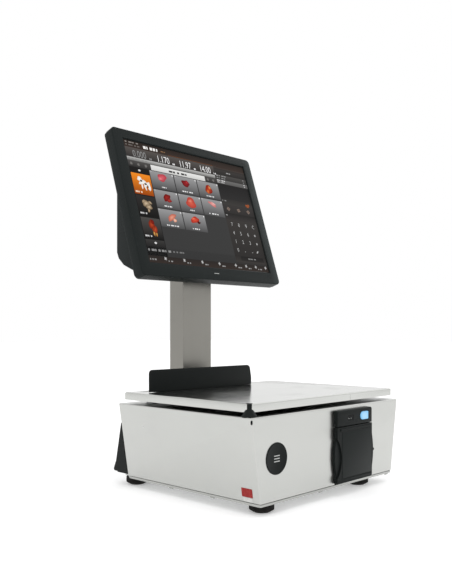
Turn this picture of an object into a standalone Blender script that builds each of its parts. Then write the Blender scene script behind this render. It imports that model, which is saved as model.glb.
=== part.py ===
"""Counter-top touchscreen weighing scale with a built-in label printer.

Frame: X to the right along the front face, Y to the back, Z up, metres.
The origin is on the counter under the centre of the whole outline. The drawing below is measured from the
body's centre, and FRAME_Y moves it to that origin.
"""

import math

import bmesh
import bpy
from mathutils import Matrix, Vector

# Gap kept between touching pieces
GAP = 0.0003

# From the body's centre to the centre of the whole outline, front of the printer to back of the connectors
FRAME_Y = -0.02745

# Body: a tapered sheet-metal cover
BODY_TOP_W = 0.3830
BODY_D = 0.2935
BODY_Z0 = 0.0192
BODY_Z1 = 0.1408
BODY_LEAN = 0.0195
SHEET = 0.0012

# Base and feet
BASE_Z0 = 0.0155
BASE_T = 0.0020
FOOT_R = 0.0185
FOOT_H = 0.0145
STUD_R = 0.0040
FEET = {
    "fl": (-0.1405, -0.1212),
    "fr": (0.1115, -0.1172),
    "rl": (-0.1446, 0.1560),
    "rr": (0.1446, 0.1560),
}

# Weigh plate
PLATE_W = 0.3700
PLATE_D = 0.2760
PLATE_Z = 0.1593
PLATE_RIM = 0.0122
PLATE_NOTCH = 0.0050

# Backstop on the plate
GUARD_X0 = -0.1665
GUARD_X1 = 0.0820
GUARD_Y = 0.0980
GUARD_Z = 0.1963
GUARD_SEAT = 0.0003

# Label printer
PRN_X0 = 0.0015
PRN_X1 = 0.0995
PRN_FRONT = -0.1542
PRN_TOP = 0.1350
PRN_SLOT = 0.1090
PRN_BOTTOM = 0.0210
ROLL_R = 0.0370
ROLL_CORE_R = 0.0200
ROLL_Y = -0.0790
ROLL_Z = 0.0665
PLATEN_R = 0.0060
PLATEN_Y = -0.1330
PLATEN_Z = 0.0985
GEAR_DISTANCE = 0.0147
GEAR_ANGLE = math.radians(-65)
MOTOR_Y = PLATEN_Y + GEAR_DISTANCE * math.cos(GEAR_ANGLE)
MOTOR_Z = PLATEN_Z + GEAR_DISTANCE * math.sin(GEAR_ANGLE)
HEAD_Y = -0.1150
HEAD_Z = 0.1010
REWIND_Y = -0.1330
REWIND_Z = 0.0440

# Column
POST_W = 0.0720
POST_D = 0.0380
POST_Y = 0.1770
POST_Z0 = 0.0240
POST_Z1 = 0.4050
POST_T = 0.0020

# Monitor: a 4:3 panel of 15 inches, leaning back
TILT = math.radians(18.2)
SCREEN_W = 0.3045
SCREEN_H = 0.2285
SCREEN_Y = 0.1503
SCREEN_Z = 0.4829
BEZEL_X = 0.1753
BEZEL_U0 = -0.1390
BEZEL_U1 = 0.1340
BEZEL_FRONT = -0.0025
BEZEL_BACK = 0.0140
HOUSING_BACK = 0.0195
HINGE_Y = 0.1770
HINGE_Z = 0.4300


def clear_scene():
    for obj in list(bpy.data.objects):
        bpy.data.objects.remove(obj, do_unlink=True)


def material(name, colour, roughness, metallic=0.0):
    mat = bpy.data.materials.get(name)
    if mat is None:
        mat = bpy.data.materials.new(name)
        mat.use_nodes = True
        shader = mat.node_tree.nodes["Principled BSDF"]
        shader.inputs["Base Color"].default_value = (*colour, 1.0)
        shader.inputs["Roughness"].default_value = roughness
        shader.inputs["Metallic"].default_value = metallic
    return mat


LOOKS = {
    "stainless": ((0.62, 0.62, 0.60), 0.22, 1.0),
    "brushed": ((0.42, 0.41, 0.38), 0.38, 1.0),
    "black_plastic": ((0.020, 0.024, 0.024), 0.45, 0.0),
    "charcoal": ((0.027, 0.033, 0.035), 0.42, 0.0),
    "rubber": ((0.012, 0.010, 0.009), 0.80, 0.0),
    "zinc": ((0.50, 0.50, 0.48), 0.40, 1.0),
    "aluminium": ((0.60, 0.61, 0.62), 0.35, 1.0),
    "glass": ((0.035, 0.035, 0.037), 0.12, 0.0),
    "board": ((0.03, 0.16, 0.08), 0.50, 0.0),
    "blue": ((0.16, 0.52, 0.85), 0.30, 0.0),
    "red": ((0.40, 0.03, 0.03), 0.50, 0.0),
    "paper": ((0.82, 0.81, 0.78), 0.80, 0.0),
    "brass": ((0.60, 0.46, 0.20), 0.35, 1.0),
    "clear": ((0.55, 0.65, 0.30), 0.10, 0.0),
}


def add(name, bm, look, origin=(0.0, 0.0, 0.0), parent=None, smooth=30.0):
    """Makes the object from a mesh in the parent's space, with its own origin at the given point."""
    bmesh.ops.recalc_face_normals(bm, faces=bm.faces)
    bmesh.ops.translate(bm, verts=bm.verts, vec=-Vector(origin))
    mesh = bpy.data.meshes.new(name)
    bm.to_mesh(mesh)
    bm.free()
    obj = bpy.data.objects.new(name, mesh)
    bpy.context.scene.collection.objects.link(obj)
    obj.location = origin
    obj.parent = parent
    if parent is None:
        obj.location.y += FRAME_Y
    colour, roughness, metallic = LOOKS[look]
    mesh.materials.append(material(name + "_mat", colour, roughness, metallic))
    mesh.shade_smooth()
    mesh.set_sharp_from_angle(angle=math.radians(smooth))
    return obj


def boolean(target, operation, name, bm, origin=(0.0, 0.0, 0.0), parent=None):
    """Cuts or joins a hidden guide solid."""
    guide = add(name, bm, "zinc", origin, parent)
    guide.hide_render = True
    guide.display_type = "WIRE"
    mod = target.modifiers.new(name, "BOOLEAN")
    mod.operation = operation
    mod.solver = "EXACT"
    mod.object = guide
    return guide


def cut(target, name, bm, origin=(0.0, 0.0, 0.0), parent=None):
    return boolean(target, "DIFFERENCE", name, bm, origin, parent)


def join(target, name, bm, origin=(0.0, 0.0, 0.0), parent=None):
    return boolean(target, "UNION", name, bm, origin, parent)


def box(x0, x1, y0, y1, z0, z1, bevel=0.0, segments=1, along=None):
    """A box; along picks the edges to bevel: 'X', 'Y', 'Z' or all."""
    bm = bmesh.new()
    bmesh.ops.create_cube(bm, size=1.0)
    bmesh.ops.scale(bm, verts=bm.verts, vec=(x1 - x0, y1 - y0, z1 - z0))
    centre = ((x0 + x1) / 2, (y0 + y1) / 2, (z0 + z1) / 2)
    bmesh.ops.translate(bm, verts=bm.verts, vec=centre)
    if bevel > 0:
        round_edges(bm, bevel, segments, along)
    return bm


def round_edges(bm, width, segments=1, along=None, chosen=None):
    edges = []
    for edge in bm.edges:
        span = edge.verts[1].co - edge.verts[0].co
        axis = "XYZ"[max(range(3), key=lambda i: abs(span[i]))]
        if along and axis not in along:
            continue
        if chosen and not chosen(edge):
            continue
        edges.append(edge)
    bmesh.ops.bevel(bm, geom=edges, offset=width, offset_type="OFFSET", segments=segments,
                    profile=0.5, affect="EDGES", clamp_overlap=True)


def prism(outline, low, high, axis="Z"):
    """An outline of 2-D points pushed along an axis. X: (y, z), Y: (x, z), Z: (x, y)."""
    bm = bmesh.new()

    def place(a, b, t):
        if axis == "X":
            return (t, a, b)
        if axis == "Y":
            return (a, t, b)
        return (a, b, t)

    lower = [bm.verts.new(place(a, b, low)) for a, b in outline]
    upper = [bm.verts.new(place(a, b, high)) for a, b in outline]
    bm.faces.new(lower)
    bm.faces.new(upper)
    count = len(outline)
    for i in range(count):
        j = (i + 1) % count
        bm.faces.new((lower[i], lower[j], upper[j], upper[i]))
    return bm


def turned(profile, centre, axis="Z", steps=24):
    """A closed (radius, height) profile turned about an axis through centre."""
    bm = bmesh.new()
    rings = []
    for radius, height in profile:
        ring = []
        count = steps if radius > 1e-7 else 1
        for k in range(count):
            angle = 2 * math.pi * (k + 0.5) / steps
            a = radius * math.cos(angle)
            b = radius * math.sin(angle)
            if axis == "X":
                point = (height, a, b)
            elif axis == "Y":
                point = (a, height, b)
            else:
                point = (a, b, height)
            ring.append(bm.verts.new(Vector(centre) + Vector(point)))
        rings.append(ring)
    for i in range(len(rings)):
        one = rings[i]
        two = rings[(i + 1) % len(rings)]
        if len(one) == 1 and len(two) == 1:
            continue
        for k in range(steps):
            n = (k + 1) % steps
            if len(one) == 1:
                bm.faces.new((one[0], two[n], two[k]))
            elif len(two) == 1:
                bm.faces.new((one[k], one[n], two[0]))
            else:
                bm.faces.new((one[k], one[n], two[n], two[k]))
    return bm


def rod(radius, low, high, centre, axis="Z", steps=24, chamfer=0.0):
    c = chamfer
    if c > 0:
        profile = [(0, low), (radius - c, low), (radius, low + c), (radius, high - c), (radius - c, high), (0, high)]
    else:
        profile = [(0, low), (radius, low), (radius, high), (0, high)]
    return turned(profile, centre, axis, steps)


def tube(outer, inner, low, high, centre, axis="Z", steps=24):
    return turned([(inner, low), (outer, low), (outer, high), (inner, high)], centre, axis, steps)


def gear(root, tip, teeth, x0, x1, y, z, phase):
    """A spur gear along X with one tooth pointing at the phase angle."""
    outline = []
    for k in range(teeth):
        for share, radius in ((-0.24, root), (-0.10, tip), (0.10, tip), (0.24, root)):
            angle = 2 * math.pi * (k + share) / teeth + phase
            outline.append((y + radius * math.cos(angle), z + radius * math.sin(angle)))
    return prism(outline, x0, x1, "X")


def half_width(z):
    """Half the body's width at a height: the sides lean inward going down."""
    return BODY_TOP_W / 2 - BODY_LEAN * (BODY_Z1 - z) / (BODY_Z1 - BODY_Z0)


def tapered(z0, z1, inset, y0, y1):
    """A box whose two sides follow the body's lean."""
    bm = bmesh.new()
    corners = []
    for z in (z0, z1):
        w = half_width(z) - inset
        for x, y in ((-w, y0), (w, y0), (w, y1), (-w, y1)):
            corners.append(bm.verts.new((x, y, z)))
    for face in ((0, 1, 2, 3), (4, 5, 6, 7), (0, 1, 5, 4), (1, 2, 6, 5), (2, 3, 7, 6), (3, 0, 4, 7)):
        bm.faces.new([corners[i] for i in face])
    return bm


# ---------------------------------------------------------------- base and body


def make_base():
    edge = 0.1700
    front = -0.1455
    outline = [
        (-edge, front), (edge, front), (edge, 0.1465), (0.1620, 0.1465), (0.1620, 0.1660), (0.1280, 0.1660),
        (0.1280, 0.1465), (0.0750, 0.1465), (0.0750, 0.2040), (-0.0750, 0.2040), (-0.0750, 0.1465),
        (-0.1280, 0.1465), (-0.1280, 0.1660), (-0.1620, 0.1660), (-0.1620, 0.1465), (-edge, 0.1465),
    ]
    base = add("base_plate", prism(outline, BASE_Z0, BASE_Z0 + BASE_T), "zinc")
    top = BASE_Z0 + BASE_T
    for side, x in (("l", -1), ("r", 1)):
        a, b = sorted((x * 0.1672, x * 0.1684))
        join(base, "base_lip_" + side, box(a, b, -0.1440, 0.1450, top - 0.001, 0.0300))
    join(base, "base_lip_rear", box(-0.1250, 0.1250, 0.1438, 0.1450, top - 0.001, 0.0300))
    for key, (x, y) in FEET.items():
        cut(base, "base_hole_" + key, rod(STUD_R + 0.0004, 0.010, 0.025, (x, y, 0), "Z", 16))
    for key, (x, y) in FEET.items():
        make_foot(key, x, y)


def make_foot(key, x, y):
    pad = [(0, 0), (0.0115, 0), (FOOT_R, 0.004), (FOOT_R, FOOT_H - 0.002), (FOOT_R - 0.002, FOOT_H), (0, FOOT_H)]
    add("foot_pad_" + key, turned(pad, (x, y, 0), "Z", 24), "rubber", (x, y, 0.0))
    low = FOOT_H + GAP
    nut = 0.0182
    stud = [(0, low), (STUD_R, low), (STUD_R, nut), (0.0060, nut), (0.0060, nut + 0.0045),
            (STUD_R, nut + 0.0045), (STUD_R, 0.0370), (STUD_R - 0.001, 0.0380), (0, 0.0380)]
    add("foot_stud_" + key, turned(stud, (x, y, 0), "Z", 12), "zinc", (x, y, 0.0))


def make_shell():
    half = BODY_D / 2
    outer = tapered(BODY_Z0, BODY_Z1, 0.0, -half, half)
    round_edges(outer, 0.0024, 2, None, lambda e: min(v.co.z for v in e.verts) > 0.1 or abs(
        e.verts[0].co.z - e.verts[1].co.z) > 0.05)
    shell = add("body_shell", outer, "stainless")
    cut(shell, "shell_inside", tapered(0.0, BODY_Z1 - SHEET, SHEET, -half + SHEET, half - SHEET))
    cut(shell, "shell_printer_opening", box(PRN_X0 + 0.0020, PRN_X1 - 0.0020, -0.17, -0.13, 0.0, 0.1330))
    cut(shell, "shell_platform_opening", box(0.0340, 0.0760, 0.0080, 0.0520, 0.13, 0.15, 0.004, 2, "Z"))
    cut(shell, "shell_cable_opening", box(-0.0300, 0.0300, 0.13, 0.16, 0.0340, 0.0640))
    cut(shell, "shell_level_opening", rod(0.0094, 0.13, 0.15, (-0.150, 0.110, 0), "Z", 24))


def make_rear_cover():
    y0 = BODY_D / 2 + GAP
    profile = [(y0, 0.0210), (0.1835, 0.0228), (0.1841, 0.0264), (0.1746, 0.0410), (y0, 0.1080)]
    cover = add("rear_cover", leaning_prism(profile, 0.0), "black_plastic")
    hump = [(y0, 0.0210), (0.2060, 0.0210), (0.2080, 0.0240), (0.2080, 0.1120), (0.2020, 0.1215), (y0, 0.1280)]
    join(cover, "cover_hump", prism(hump, -0.0950, 0.0950, "X"))
    inner = [(0.1300, 0.0100), (0.1811, 0.0100), (0.1811, 0.0255), (0.1722, 0.0395), (y0, 0.1010), (0.1300, 0.1010)]
    cut(cover, "cover_inside", leaning_prism(inner, 0.0025))
    hollow = [(0.1300, 0.0100), (0.2055, 0.0100), (0.2055, 0.1110), (0.2000, 0.1193), (y0, 0.1254), (0.1300, 0.1254)]
    cut(cover, "cover_hump_inside", prism(hollow, -0.0925, 0.0925, "X"))
    cut(cover, "cover_post_hole", box(-POST_W / 2 - GAP, POST_W / 2 + GAP, POST_Y - POST_D / 2 - GAP,
                                      POST_Y + POST_D / 2 + GAP, 0.10, 0.15))
    cut(cover, "cover_inlet_hole", box(0.0560, 0.0840, 0.19, 0.22, 0.0360, 0.0560))
    cut(cover, "cover_switch_hole", box(0.0600, 0.0800, 0.19, 0.22, 0.0645, 0.0815))
    cut(cover, "cover_port_hole", box(-0.0860, -0.0460, 0.19, 0.22, 0.0360, 0.0800))


def leaning_prism(profile, inset):
    """A (y, z) profile between the body's two leaning sides."""
    bm = bmesh.new()
    left = [bm.verts.new((-half_width(z) + inset, y, z)) for y, z in profile]
    right = [bm.verts.new((half_width(z) - inset, y, z)) for y, z in profile]
    bm.faces.new(left)
    bm.faces.new(right)
    count = len(profile)
    for i in range(count):
        j = (i + 1) % count
        bm.faces.new((left[i], left[j], right[j], right[i]))
    return bm


def make_connections():
    wall = 0.2055
    inlet = add("power_inlet", box(0.0563, 0.0837, 0.1990, 0.2085, 0.0363, 0.0557), "black_plastic")
    cut(inlet, "inlet_socket", box(0.0590, 0.0810, 0.2015, 0.2200, 0.0390, 0.0530, 0.002, 1, "Y"))
    for i, x in enumerate((0.0640, 0.0700, 0.0760)):
        join(inlet, "inlet_pin_%d" % i, box(x - 0.0009, x + 0.0009, 0.2010, 0.2070, 0.0440, 0.0478))
    rocker = [(-0.0066, 0.0016), (0.0, 0.0000), (0.0066, -0.0008), (0.0050, -0.0070), (-0.0050, -0.0070)]
    y = wall + 0.0030
    z = 0.0730
    points = [(y + b, z + a) for a, b in rocker]
    add("rocker_switch", prism(points, 0.0604, 0.0796, "X"), "black_plastic", (0.0700, y - 0.0060, z))
    ports = add("connector_block", box(-0.0857, -0.0463, 0.1990, 0.2083, 0.0363, 0.0797), "zinc")
    for i, zc in enumerate((0.0440, 0.0580, 0.0720)):
        cut(ports, "port_a_%d" % i, box(-0.0830, -0.0680, 0.2030, 0.2200, zc - 0.0045, zc + 0.0045))
        cut(ports, "port_b_%d" % i, box(-0.0640, -0.0490, 0.2030, 0.2200, zc - 0.0045, zc + 0.0045))


def make_trims():
    y = -BODY_D / 2 - GAP
    disc = [(0, 0), (0.0230, 0), (0.0230, -0.0004), (0.0226, -0.0008), (0, -0.0008)]
    add("badge_disc", turned(disc, (-0.1376, y, 0.0790), "Y", 48), "black_plastic", (-0.1376, y, 0.0790))
    lean = math.atan(BODY_LEAN / (BODY_Z1 - BODY_Z0))
    bm = box(-0.0004, 0.0, -0.0103, 0.0103, -0.0065, 0.0065)
    turn = Matrix.Rotation(-lean, 4, "Y")
    z = 0.0316
    shift = Matrix.Translation((-half_width(z) - GAP, -0.1235, z))
    bmesh.ops.transform(bm, matrix=shift @ turn, verts=bm.verts)
    add("side_label", bm, "red")
    level = [(0, 0.1380), (0.0080, 0.1380), (0.0090, 0.1385), (0.0090, 0.1411), (0.0100, 0.1411), (0.0100, 0.1424),
             (0.0090, 0.1430), (0, 0.1430)]
    add("spirit_level", turned(level, (-0.150, 0.110, 0), "Z", 24), "clear", (-0.150, 0.110, 0.0))


def make_electronics():
    z = BASE_Z0 + BASE_T + GAP
    board = add("main_board", box(-0.1500, -0.0850, -0.1100, 0.0600, 0.0260, 0.0276), "board")
    for i, (x, y) in enumerate(((-0.145, -0.105), (-0.090, -0.105), (-0.145, 0.055), (-0.090, 0.055))):
        join(board, "board_leg_%d" % i, rod(0.0030, z, 0.0265, (x, y, 0), "Z", 8))
    join(board, "board_chip", box(-0.1300, -0.1050, -0.0500, -0.0250, 0.0272, 0.0330))
    join(board, "board_plugs", box(-0.1480, -0.1400, -0.0900, 0.0300, 0.0272, 0.0370))
    join(board, "board_memory", box(-0.1280, -0.0950, 0.0000, 0.0100, 0.0272, 0.0400))
    psu = add("power_supply", box(0.1120, 0.1600, -0.0950, 0.0450, z, 0.0580, 0.001, 1), "aluminium")
    for i in range(5):
        y = -0.080 + 0.026 * i
        cut(psu, "psu_slot_%d" % i, box(0.1200, 0.1520, y, y + 0.008, 0.0560, 0.0700))


# ---------------------------------------------------------------- weighing mechanism


def make_weighing():
    z = BASE_Z0 + BASE_T + GAP
    pedestal = add("cell_pedestal", box(-0.0720, -0.0400, 0.0120, 0.0480, z, 0.0250), "aluminium")
    join(pedestal, "pedestal_block", box(-0.0700, -0.0420, 0.0160, 0.0440, 0.0245, 0.0697))
    cell = add("load_cell", box(-0.0700, 0.0700, 0.0160, 0.0440, 0.0700, 0.0920), "aluminium")
    for i, x in enumerate((-0.0180, 0.0180)):
        cut(cell, "cell_bore_%d" % i, rod(0.0080, 0.0, 0.06, (x, 0.0, 0.0810), "Y", 16))
    cut(cell, "cell_slot", box(-0.0180, 0.0180, 0.0, 0.06, 0.0775, 0.0845))
    spacer = add("cell_spacer", box(0.0420, 0.0680, 0.0160, 0.0440, 0.0923, 0.1440), "aluminium")
    join(spacer, "spacer_flange", box(0.0380, 0.0720, 0.0120, 0.0480, 0.1420, 0.1447))
    make_spider()
    make_tray()
    make_plate()
    make_backstop()


def make_spider():
    """Cast cross with a ring: carries the tray on the load cell's free end."""
    low = 0.1450
    high = 0.1492
    spider = add("platform_spider", box(-0.0800, 0.0800, -0.0100, 0.0600, low, high), "aluminium")
    reach = (0.1600, 0.1150)
    for i, (sx, sy) in enumerate(((1, 1), (-1, 1), (-1, -1), (1, -1))):
        start = Vector((sx * 0.060, 0.020 + sy * 0.020, 0))
        end = Vector((sx * reach[0], sy * reach[1], 0))
        along = (end - start).normalized()
        side = Vector((-along.y, along.x, 0)) * 0.0080
        ring = [start + side, start - side, end - side, end + side]
        join(spider, "spider_arm_%d" % i, prism([(p.x, p.y) for p in ring], low + 0.0002, high - 0.0002))
        join(spider, "spider_tip_%d" % i, rod(0.0120, low + 0.0001, high, (end.x, end.y, 0), "Z", 16))


def make_tray():
    """Black tray between the cast frame and the plate, with a corner post seen in the plate's notch."""
    low = 0.1495
    top = PLATE_Z - SHEET - GAP
    w = PLATE_W / 2 - SHEET - 0.0012
    d = PLATE_D / 2 - SHEET - 0.0012
    tray = add("under_tray", box(-w, w, -d, d, low, low + 0.0030), "black_plastic")
    join(tray, "tray_wall_outer", box(-w, w, -d, d, low + 0.001, top))
    cut(tray, "tray_inside", box(-w + 0.006, w - 0.006, -d + 0.006, d - 0.006, low + 0.0025, top + 0.01))
    corner = (0.0052 - PLATE_W / 2, 0.0052 - PLATE_D / 2, 0)
    join(tray, "tray_corner", rod(0.0042, 0.1426, PLATE_Z - 0.0004, corner, "Z", 12, 0.001))


def make_plate():
    w = PLATE_W / 2
    d = PLATE_D / 2
    outer = box(-w, w, -d, d, PLATE_Z - PLATE_RIM, PLATE_Z)
    round_edges(outer, 0.0020, 2, None, lambda e: min(v.co.z for v in e.verts) > PLATE_Z - 0.001)
    plate = add("weigh_plate", outer, "stainless")
    cut(plate, "plate_inside", box(-w + SHEET, w - SHEET, -d + SHEET, d - SHEET, 0.1, PLATE_Z - SHEET))
    n = PLATE_NOTCH
    cut(plate, "plate_notch", box(-w - 0.02, n - w, -d - 0.02, n - d, 0.1, 0.2))
    cut(plate, "plate_corner_hole", rod(0.0046, 0.1, 0.2, (0.0052 - w, 0.0052 - d, 0), "Z", 12))
    seat = box(GUARD_X0 - 0.0005, GUARD_X1 + 0.0005, GUARD_Y - 0.0005, GUARD_Y + 0.0245, PLATE_Z - GUARD_SEAT, 0.2)
    cut(plate, "plate_guard_seat", seat)


def make_backstop():
    low = PLATE_Z - GUARD_SEAT + GAP
    outline = [(GUARD_X0, low), (GUARD_X1, low), (GUARD_X1 - 0.0010, low + 0.014), (GUARD_X1 - 0.0065, GUARD_Z - 0.004),
               (GUARD_X1 - 0.0095, GUARD_Z - 0.0012), (GUARD_X1 - 0.0130, GUARD_Z), (GUARD_X0 + 0.0040, GUARD_Z),
               (GUARD_X0 + 0.0012, GUARD_Z - 0.0012), (GUARD_X0, GUARD_Z - 0.0040)]
    guard = add("backstop", prism(outline, GUARD_Y, GUARD_Y + 0.0020, "Y"), "black_plastic")
    join(guard, "guard_foot", box(GUARD_X0 + 0.026, GUARD_X1 - 0.002, GUARD_Y + 0.0005, GUARD_Y + 0.0240, low, low + 0.0020))
    for i in range(4):
        x = GUARD_X0 + 0.030 + i * 0.060
        web = [(GUARD_Y + 0.001, low + 0.001), (GUARD_Y + 0.0200, low + 0.001), (GUARD_Y + 0.001, low + 0.0240)]
        join(guard, "guard_web_%d" % i, prism(web, x - 0.001, x + 0.001, "X"))


# ---------------------------------------------------------------- label printer


def make_printer():
    mid = (PRN_X0 + PRN_X1) / 2
    fascia = add("printer_fascia", box(PRN_X0, PRN_X1, PRN_FRONT, -BODY_D / 2 - GAP, PRN_SLOT + 0.0008, PRN_TOP,
                                       0.0012, 1), "black_plastic")
    join(fascia, "fascia_back", box(PRN_X0 + 0.0025, PRN_X1 - 0.0025, -0.1500, -0.1330, PRN_SLOT + 0.0015, 0.1325))
    cut(fascia, "fascia_button_hole", box(0.0646, 0.0872, -0.16, -0.1440, 0.1158, 0.1296, 0.0026, 2, "Y"))
    cut(fascia, "fascia_window_hole", box(0.0298, 0.0462, -0.16, -0.1500, 0.1178, 0.1262))
    add("led_window", box(0.0301, 0.0459, -0.1545, -0.1503, 0.1181, 0.1259), "clear")
    button = box(0.0652, 0.0866, -0.1556, -0.1460, 0.1164, 0.1290, 0.0022, 2, "Y")
    add("print_button", button, "blue", (0.0759, -0.1508, 0.1227))
    make_rails()
    make_cassette(mid)
    make_paper(mid)
    make_drive()


def make_rails():
    z = BASE_Z0 + BASE_T + GAP
    for key, x0, x1 in (("left", 0.0008, 0.0052), ("right", 0.0958, 0.1002)):
        rail = add("rail_" + key, box(x0, x1, -0.1440, -0.0220, z, 0.0225), "zinc")
        side = box(x0 + 0.0010, x1 - 0.0010, -0.1440, -0.0220, 0.0220, 0.0560)
        join(rail, "rail_side_" + key, side)


def make_cassette(mid):
    left = PRN_X0 + 0.0050
    right = PRN_X1 - 0.0050
    front = -0.1460
    back = -0.0250
    low = 0.0235
    t = SHEET
    floor = box(left, right, front, back, low, low + t)
    chassis = add("cassette_chassis", floor, "zinc")
    side = [(front, low), (back, low), (back, 0.0700), (-0.0500, 0.1060), (-0.1270, 0.1060), (-0.1270, 0.1080),
            (front, 0.1080)]
    for key, x in (("left", left), ("inner", 0.0725), ("right", right - t)):
        join(chassis, "cassette_wall_" + key, prism(side, x, x + t, "X"))
    join(chassis, "cassette_front", box(left, right, front, front + t, low, 0.0880))
    for key, radius, y, z in (("platen", 0.0032, PLATEN_Y, PLATEN_Z), ("roll", 0.0035, ROLL_Y, ROLL_Z),
                              ("rewind", 0.0032, REWIND_Y, REWIND_Z), ("head", 0.0022, HEAD_Y, HEAD_Z)):
        cut(chassis, "cassette_hole_" + key, rod(radius, 0.0, 0.080, (0, y, z), "X", 16))
    door = box(PRN_X0, PRN_X1, PRN_FRONT, -BODY_D / 2 - GAP, PRN_BOTTOM, PRN_SLOT - 0.0002, 0.0012, 1)
    front_door = add("cassette_door", door, "black_plastic")
    grip = [(PRN_X0 - 0.0035, 0.0560), (PRN_X0 + 0.002, 0.0310), (PRN_X0 + 0.002, 0.0970), (PRN_X0 - 0.0035, 0.0720)]
    join(front_door, "door_grip_left", prism(grip, PRN_FRONT + 0.0006, -0.1476, "Y"))
    grip = [(2 * mid - x, z) for x, z in grip]
    join(front_door, "door_grip_right", prism(grip, PRN_FRONT + 0.0006, -0.1476, "Y"))
    lip = [(PRN_FRONT + 0.001, 0.1020), (PRN_FRONT - 0.0012, 0.1040), (PRN_FRONT - 0.0012, 0.1062),
           (PRN_FRONT + 0.001, 0.1070)]
    join(front_door, "door_tear_lip", prism(lip, PRN_X0 + 0.006, PRN_X1 - 0.006, "X"))
    axis = (PRN_X1 + 0.0040, -0.1508, 0.0640)
    knob = rod(0.0028, PRN_X1 + 0.0040, PRN_X1 + 0.0075, (0, axis[1], axis[2]), "X", 16, 0.0005)
    latch = add("latch_knob", knob, "black_plastic", axis)
    join(latch, "latch_lever", box(PRN_X1 + 0.0042, PRN_X1 + 0.0060, -0.1524, -0.1492, 0.0640, 0.0720), axis)


def make_paper(mid):
    x0 = 0.0100
    x1 = 0.0700
    y = ROLL_Y
    z = ROLL_Z
    add("label_roll", tube(ROLL_R, ROLL_CORE_R, x0, x1, (0, y, z), "X", 48), "paper", (mid, y, z))
    r = ROLL_CORE_R - GAP
    spindle = [(0, 0.0060), (0.0030, 0.0060), (0.0030, 0.0085), (0.0250, 0.0085), (0.0250, 0.0097), (r, 0.0097),
               (r, x1 - 0.001), (0.0030, x1 - 0.001), (0.0030, 0.0745), (0, 0.0745)]
    add("roll_spindle", turned(spindle, (0, y, z), "X", 24), "black_plastic", (mid, y, z))
    y = REWIND_Y
    z = REWIND_Z
    spool = [(0, 0.0060), (0.0027, 0.0060), (0.0027, 0.0085), (0.0110, 0.0085), (0.0110, 0.0100), (0.0070, 0.0100),
             (0.0070, 0.0695), (0.0110, 0.0695), (0.0110, 0.0710), (0.0027, 0.0710), (0.0027, 0.0745), (0, 0.0745)]
    add("rewind_spool", turned(spool, (0, y, z), "X", 16), "black_plastic", (mid, y, z))


def make_drive():
    y = PLATEN_Y
    z = PLATEN_Z
    roller = [(0, 0.0060), (0.0027, 0.0060), (0.0027, 0.0090), (PLATEN_R, 0.0090), (PLATEN_R, 0.0710),
              (0.0027, 0.0710), (0.0027, 0.0752), (0, 0.0752)]
    add("platen_roller", turned(roller, (0, y, z), "X", 24), "rubber", (0.040, y, z))
    add("platen_gear", gear(0.0083, 0.0102, 18, 0.0755, 0.0785, y, z, GEAR_ANGLE), "brass", (0.077, y, z))
    y = MOTOR_Y
    z = MOTOR_Z
    add("motor_pinion", gear(0.0041, 0.0060, 10, 0.0755, 0.0785, y, z, GEAR_ANGLE + math.pi * 1.1), "brass", (0.077, y, z))
    body = [(0, 0.0788), (0.0030, 0.0788), (0.0030, 0.0800), (0.0130, 0.0800), (0.0138, 0.0808), (0.0138, 0.0928),
            (0, 0.0928)]
    add("printer_motor", turned(body, (0, y, z), "X", 24), "zinc", (0.085, y, z))
    outline = [(-0.1390, 0.1050), (-0.1300, 0.1050), (-0.1180, 0.1010), (-0.1150, 0.0980), (-0.1120, 0.1000),
               (-0.1140, 0.1065), (-0.1390, 0.1078)]
    head = add("print_head", prism(outline, 0.0100, 0.0700, "X"), "aluminium", (0.040, HEAD_Y, HEAD_Z))
    join(head, "head_pivot_pins", rod(0.0018, 0.0060, 0.0742, (0, HEAD_Y, HEAD_Z), "X", 12), (0.040, HEAD_Y, HEAD_Z))


# ---------------------------------------------------------------- column and monitor


def make_column():
    y0 = POST_Y - POST_D / 2
    y1 = POST_Y + POST_D / 2
    w = POST_W / 2
    post = add("post", box(-w, w, y0, y1, POST_Z0, POST_Z1, 0.0022, 2, "Z"), "brushed")
    t = POST_T
    cut(post, "post_inside", box(-w + t, w - t, y0 + t, y1 - t, 0.0, 0.5))
    g = t + GAP
    z = BASE_Z0 + BASE_T + GAP
    foot = add("post_foot", box(-0.0520, 0.0520, 0.1505, 0.2035, z, POST_Z0 - GAP), "zinc")
    join(foot, "post_foot_plug", box(-w + g, w - g, y0 + g, y1 - g, 0.0230, 0.0850))
    cut(foot, "post_foot_channel", box(-0.0200, 0.0200, y0 + 0.008, y1 - 0.008, 0.0, 0.1))
    head = add("post_head", box(-w, w, y0, y1, POST_Z1 + GAP, POST_Z1 + 0.0035), "zinc")
    join(head, "post_head_plug", box(-w + g, w - g, y0 + g, y1 - g, 0.3700, POST_Z1 + 0.001))
    for key, x in (("l", -0.0240), ("r", 0.0200)):
        join(head, "head_ear_" + key, box(x, x + 0.0040, HINGE_Y - 0.0090, HINGE_Y + 0.0090, POST_Z1 + 0.002, HINGE_Z))
        join(head, "head_eye_" + key, rod(0.0090, x + 0.0001, x + 0.0039, (0, HINGE_Y, HINGE_Z), "X", 24))
    cut(head, "head_bore", rod(0.0043, -0.05, 0.05, (0, HINGE_Y, HINGE_Z), "X", 24))
    cut(head, "head_channel", box(-0.0150, 0.0150, y0 + 0.010, y1 - 0.010, 0.3, 0.45))
    shaft = [(0, -0.0330), (0.0062, -0.0330), (0.0062, -0.0293), (0.0040, -0.0293), (0.0040, 0.0293), (0.0062, 0.0293),
             (0.0062, 0.0330), (0, 0.0330)]
    add("hinge_shaft", turned(shaft, (0, HINGE_Y, HINGE_Z), "X", 16), "zinc", (0, HINGE_Y, HINGE_Z))


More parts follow.
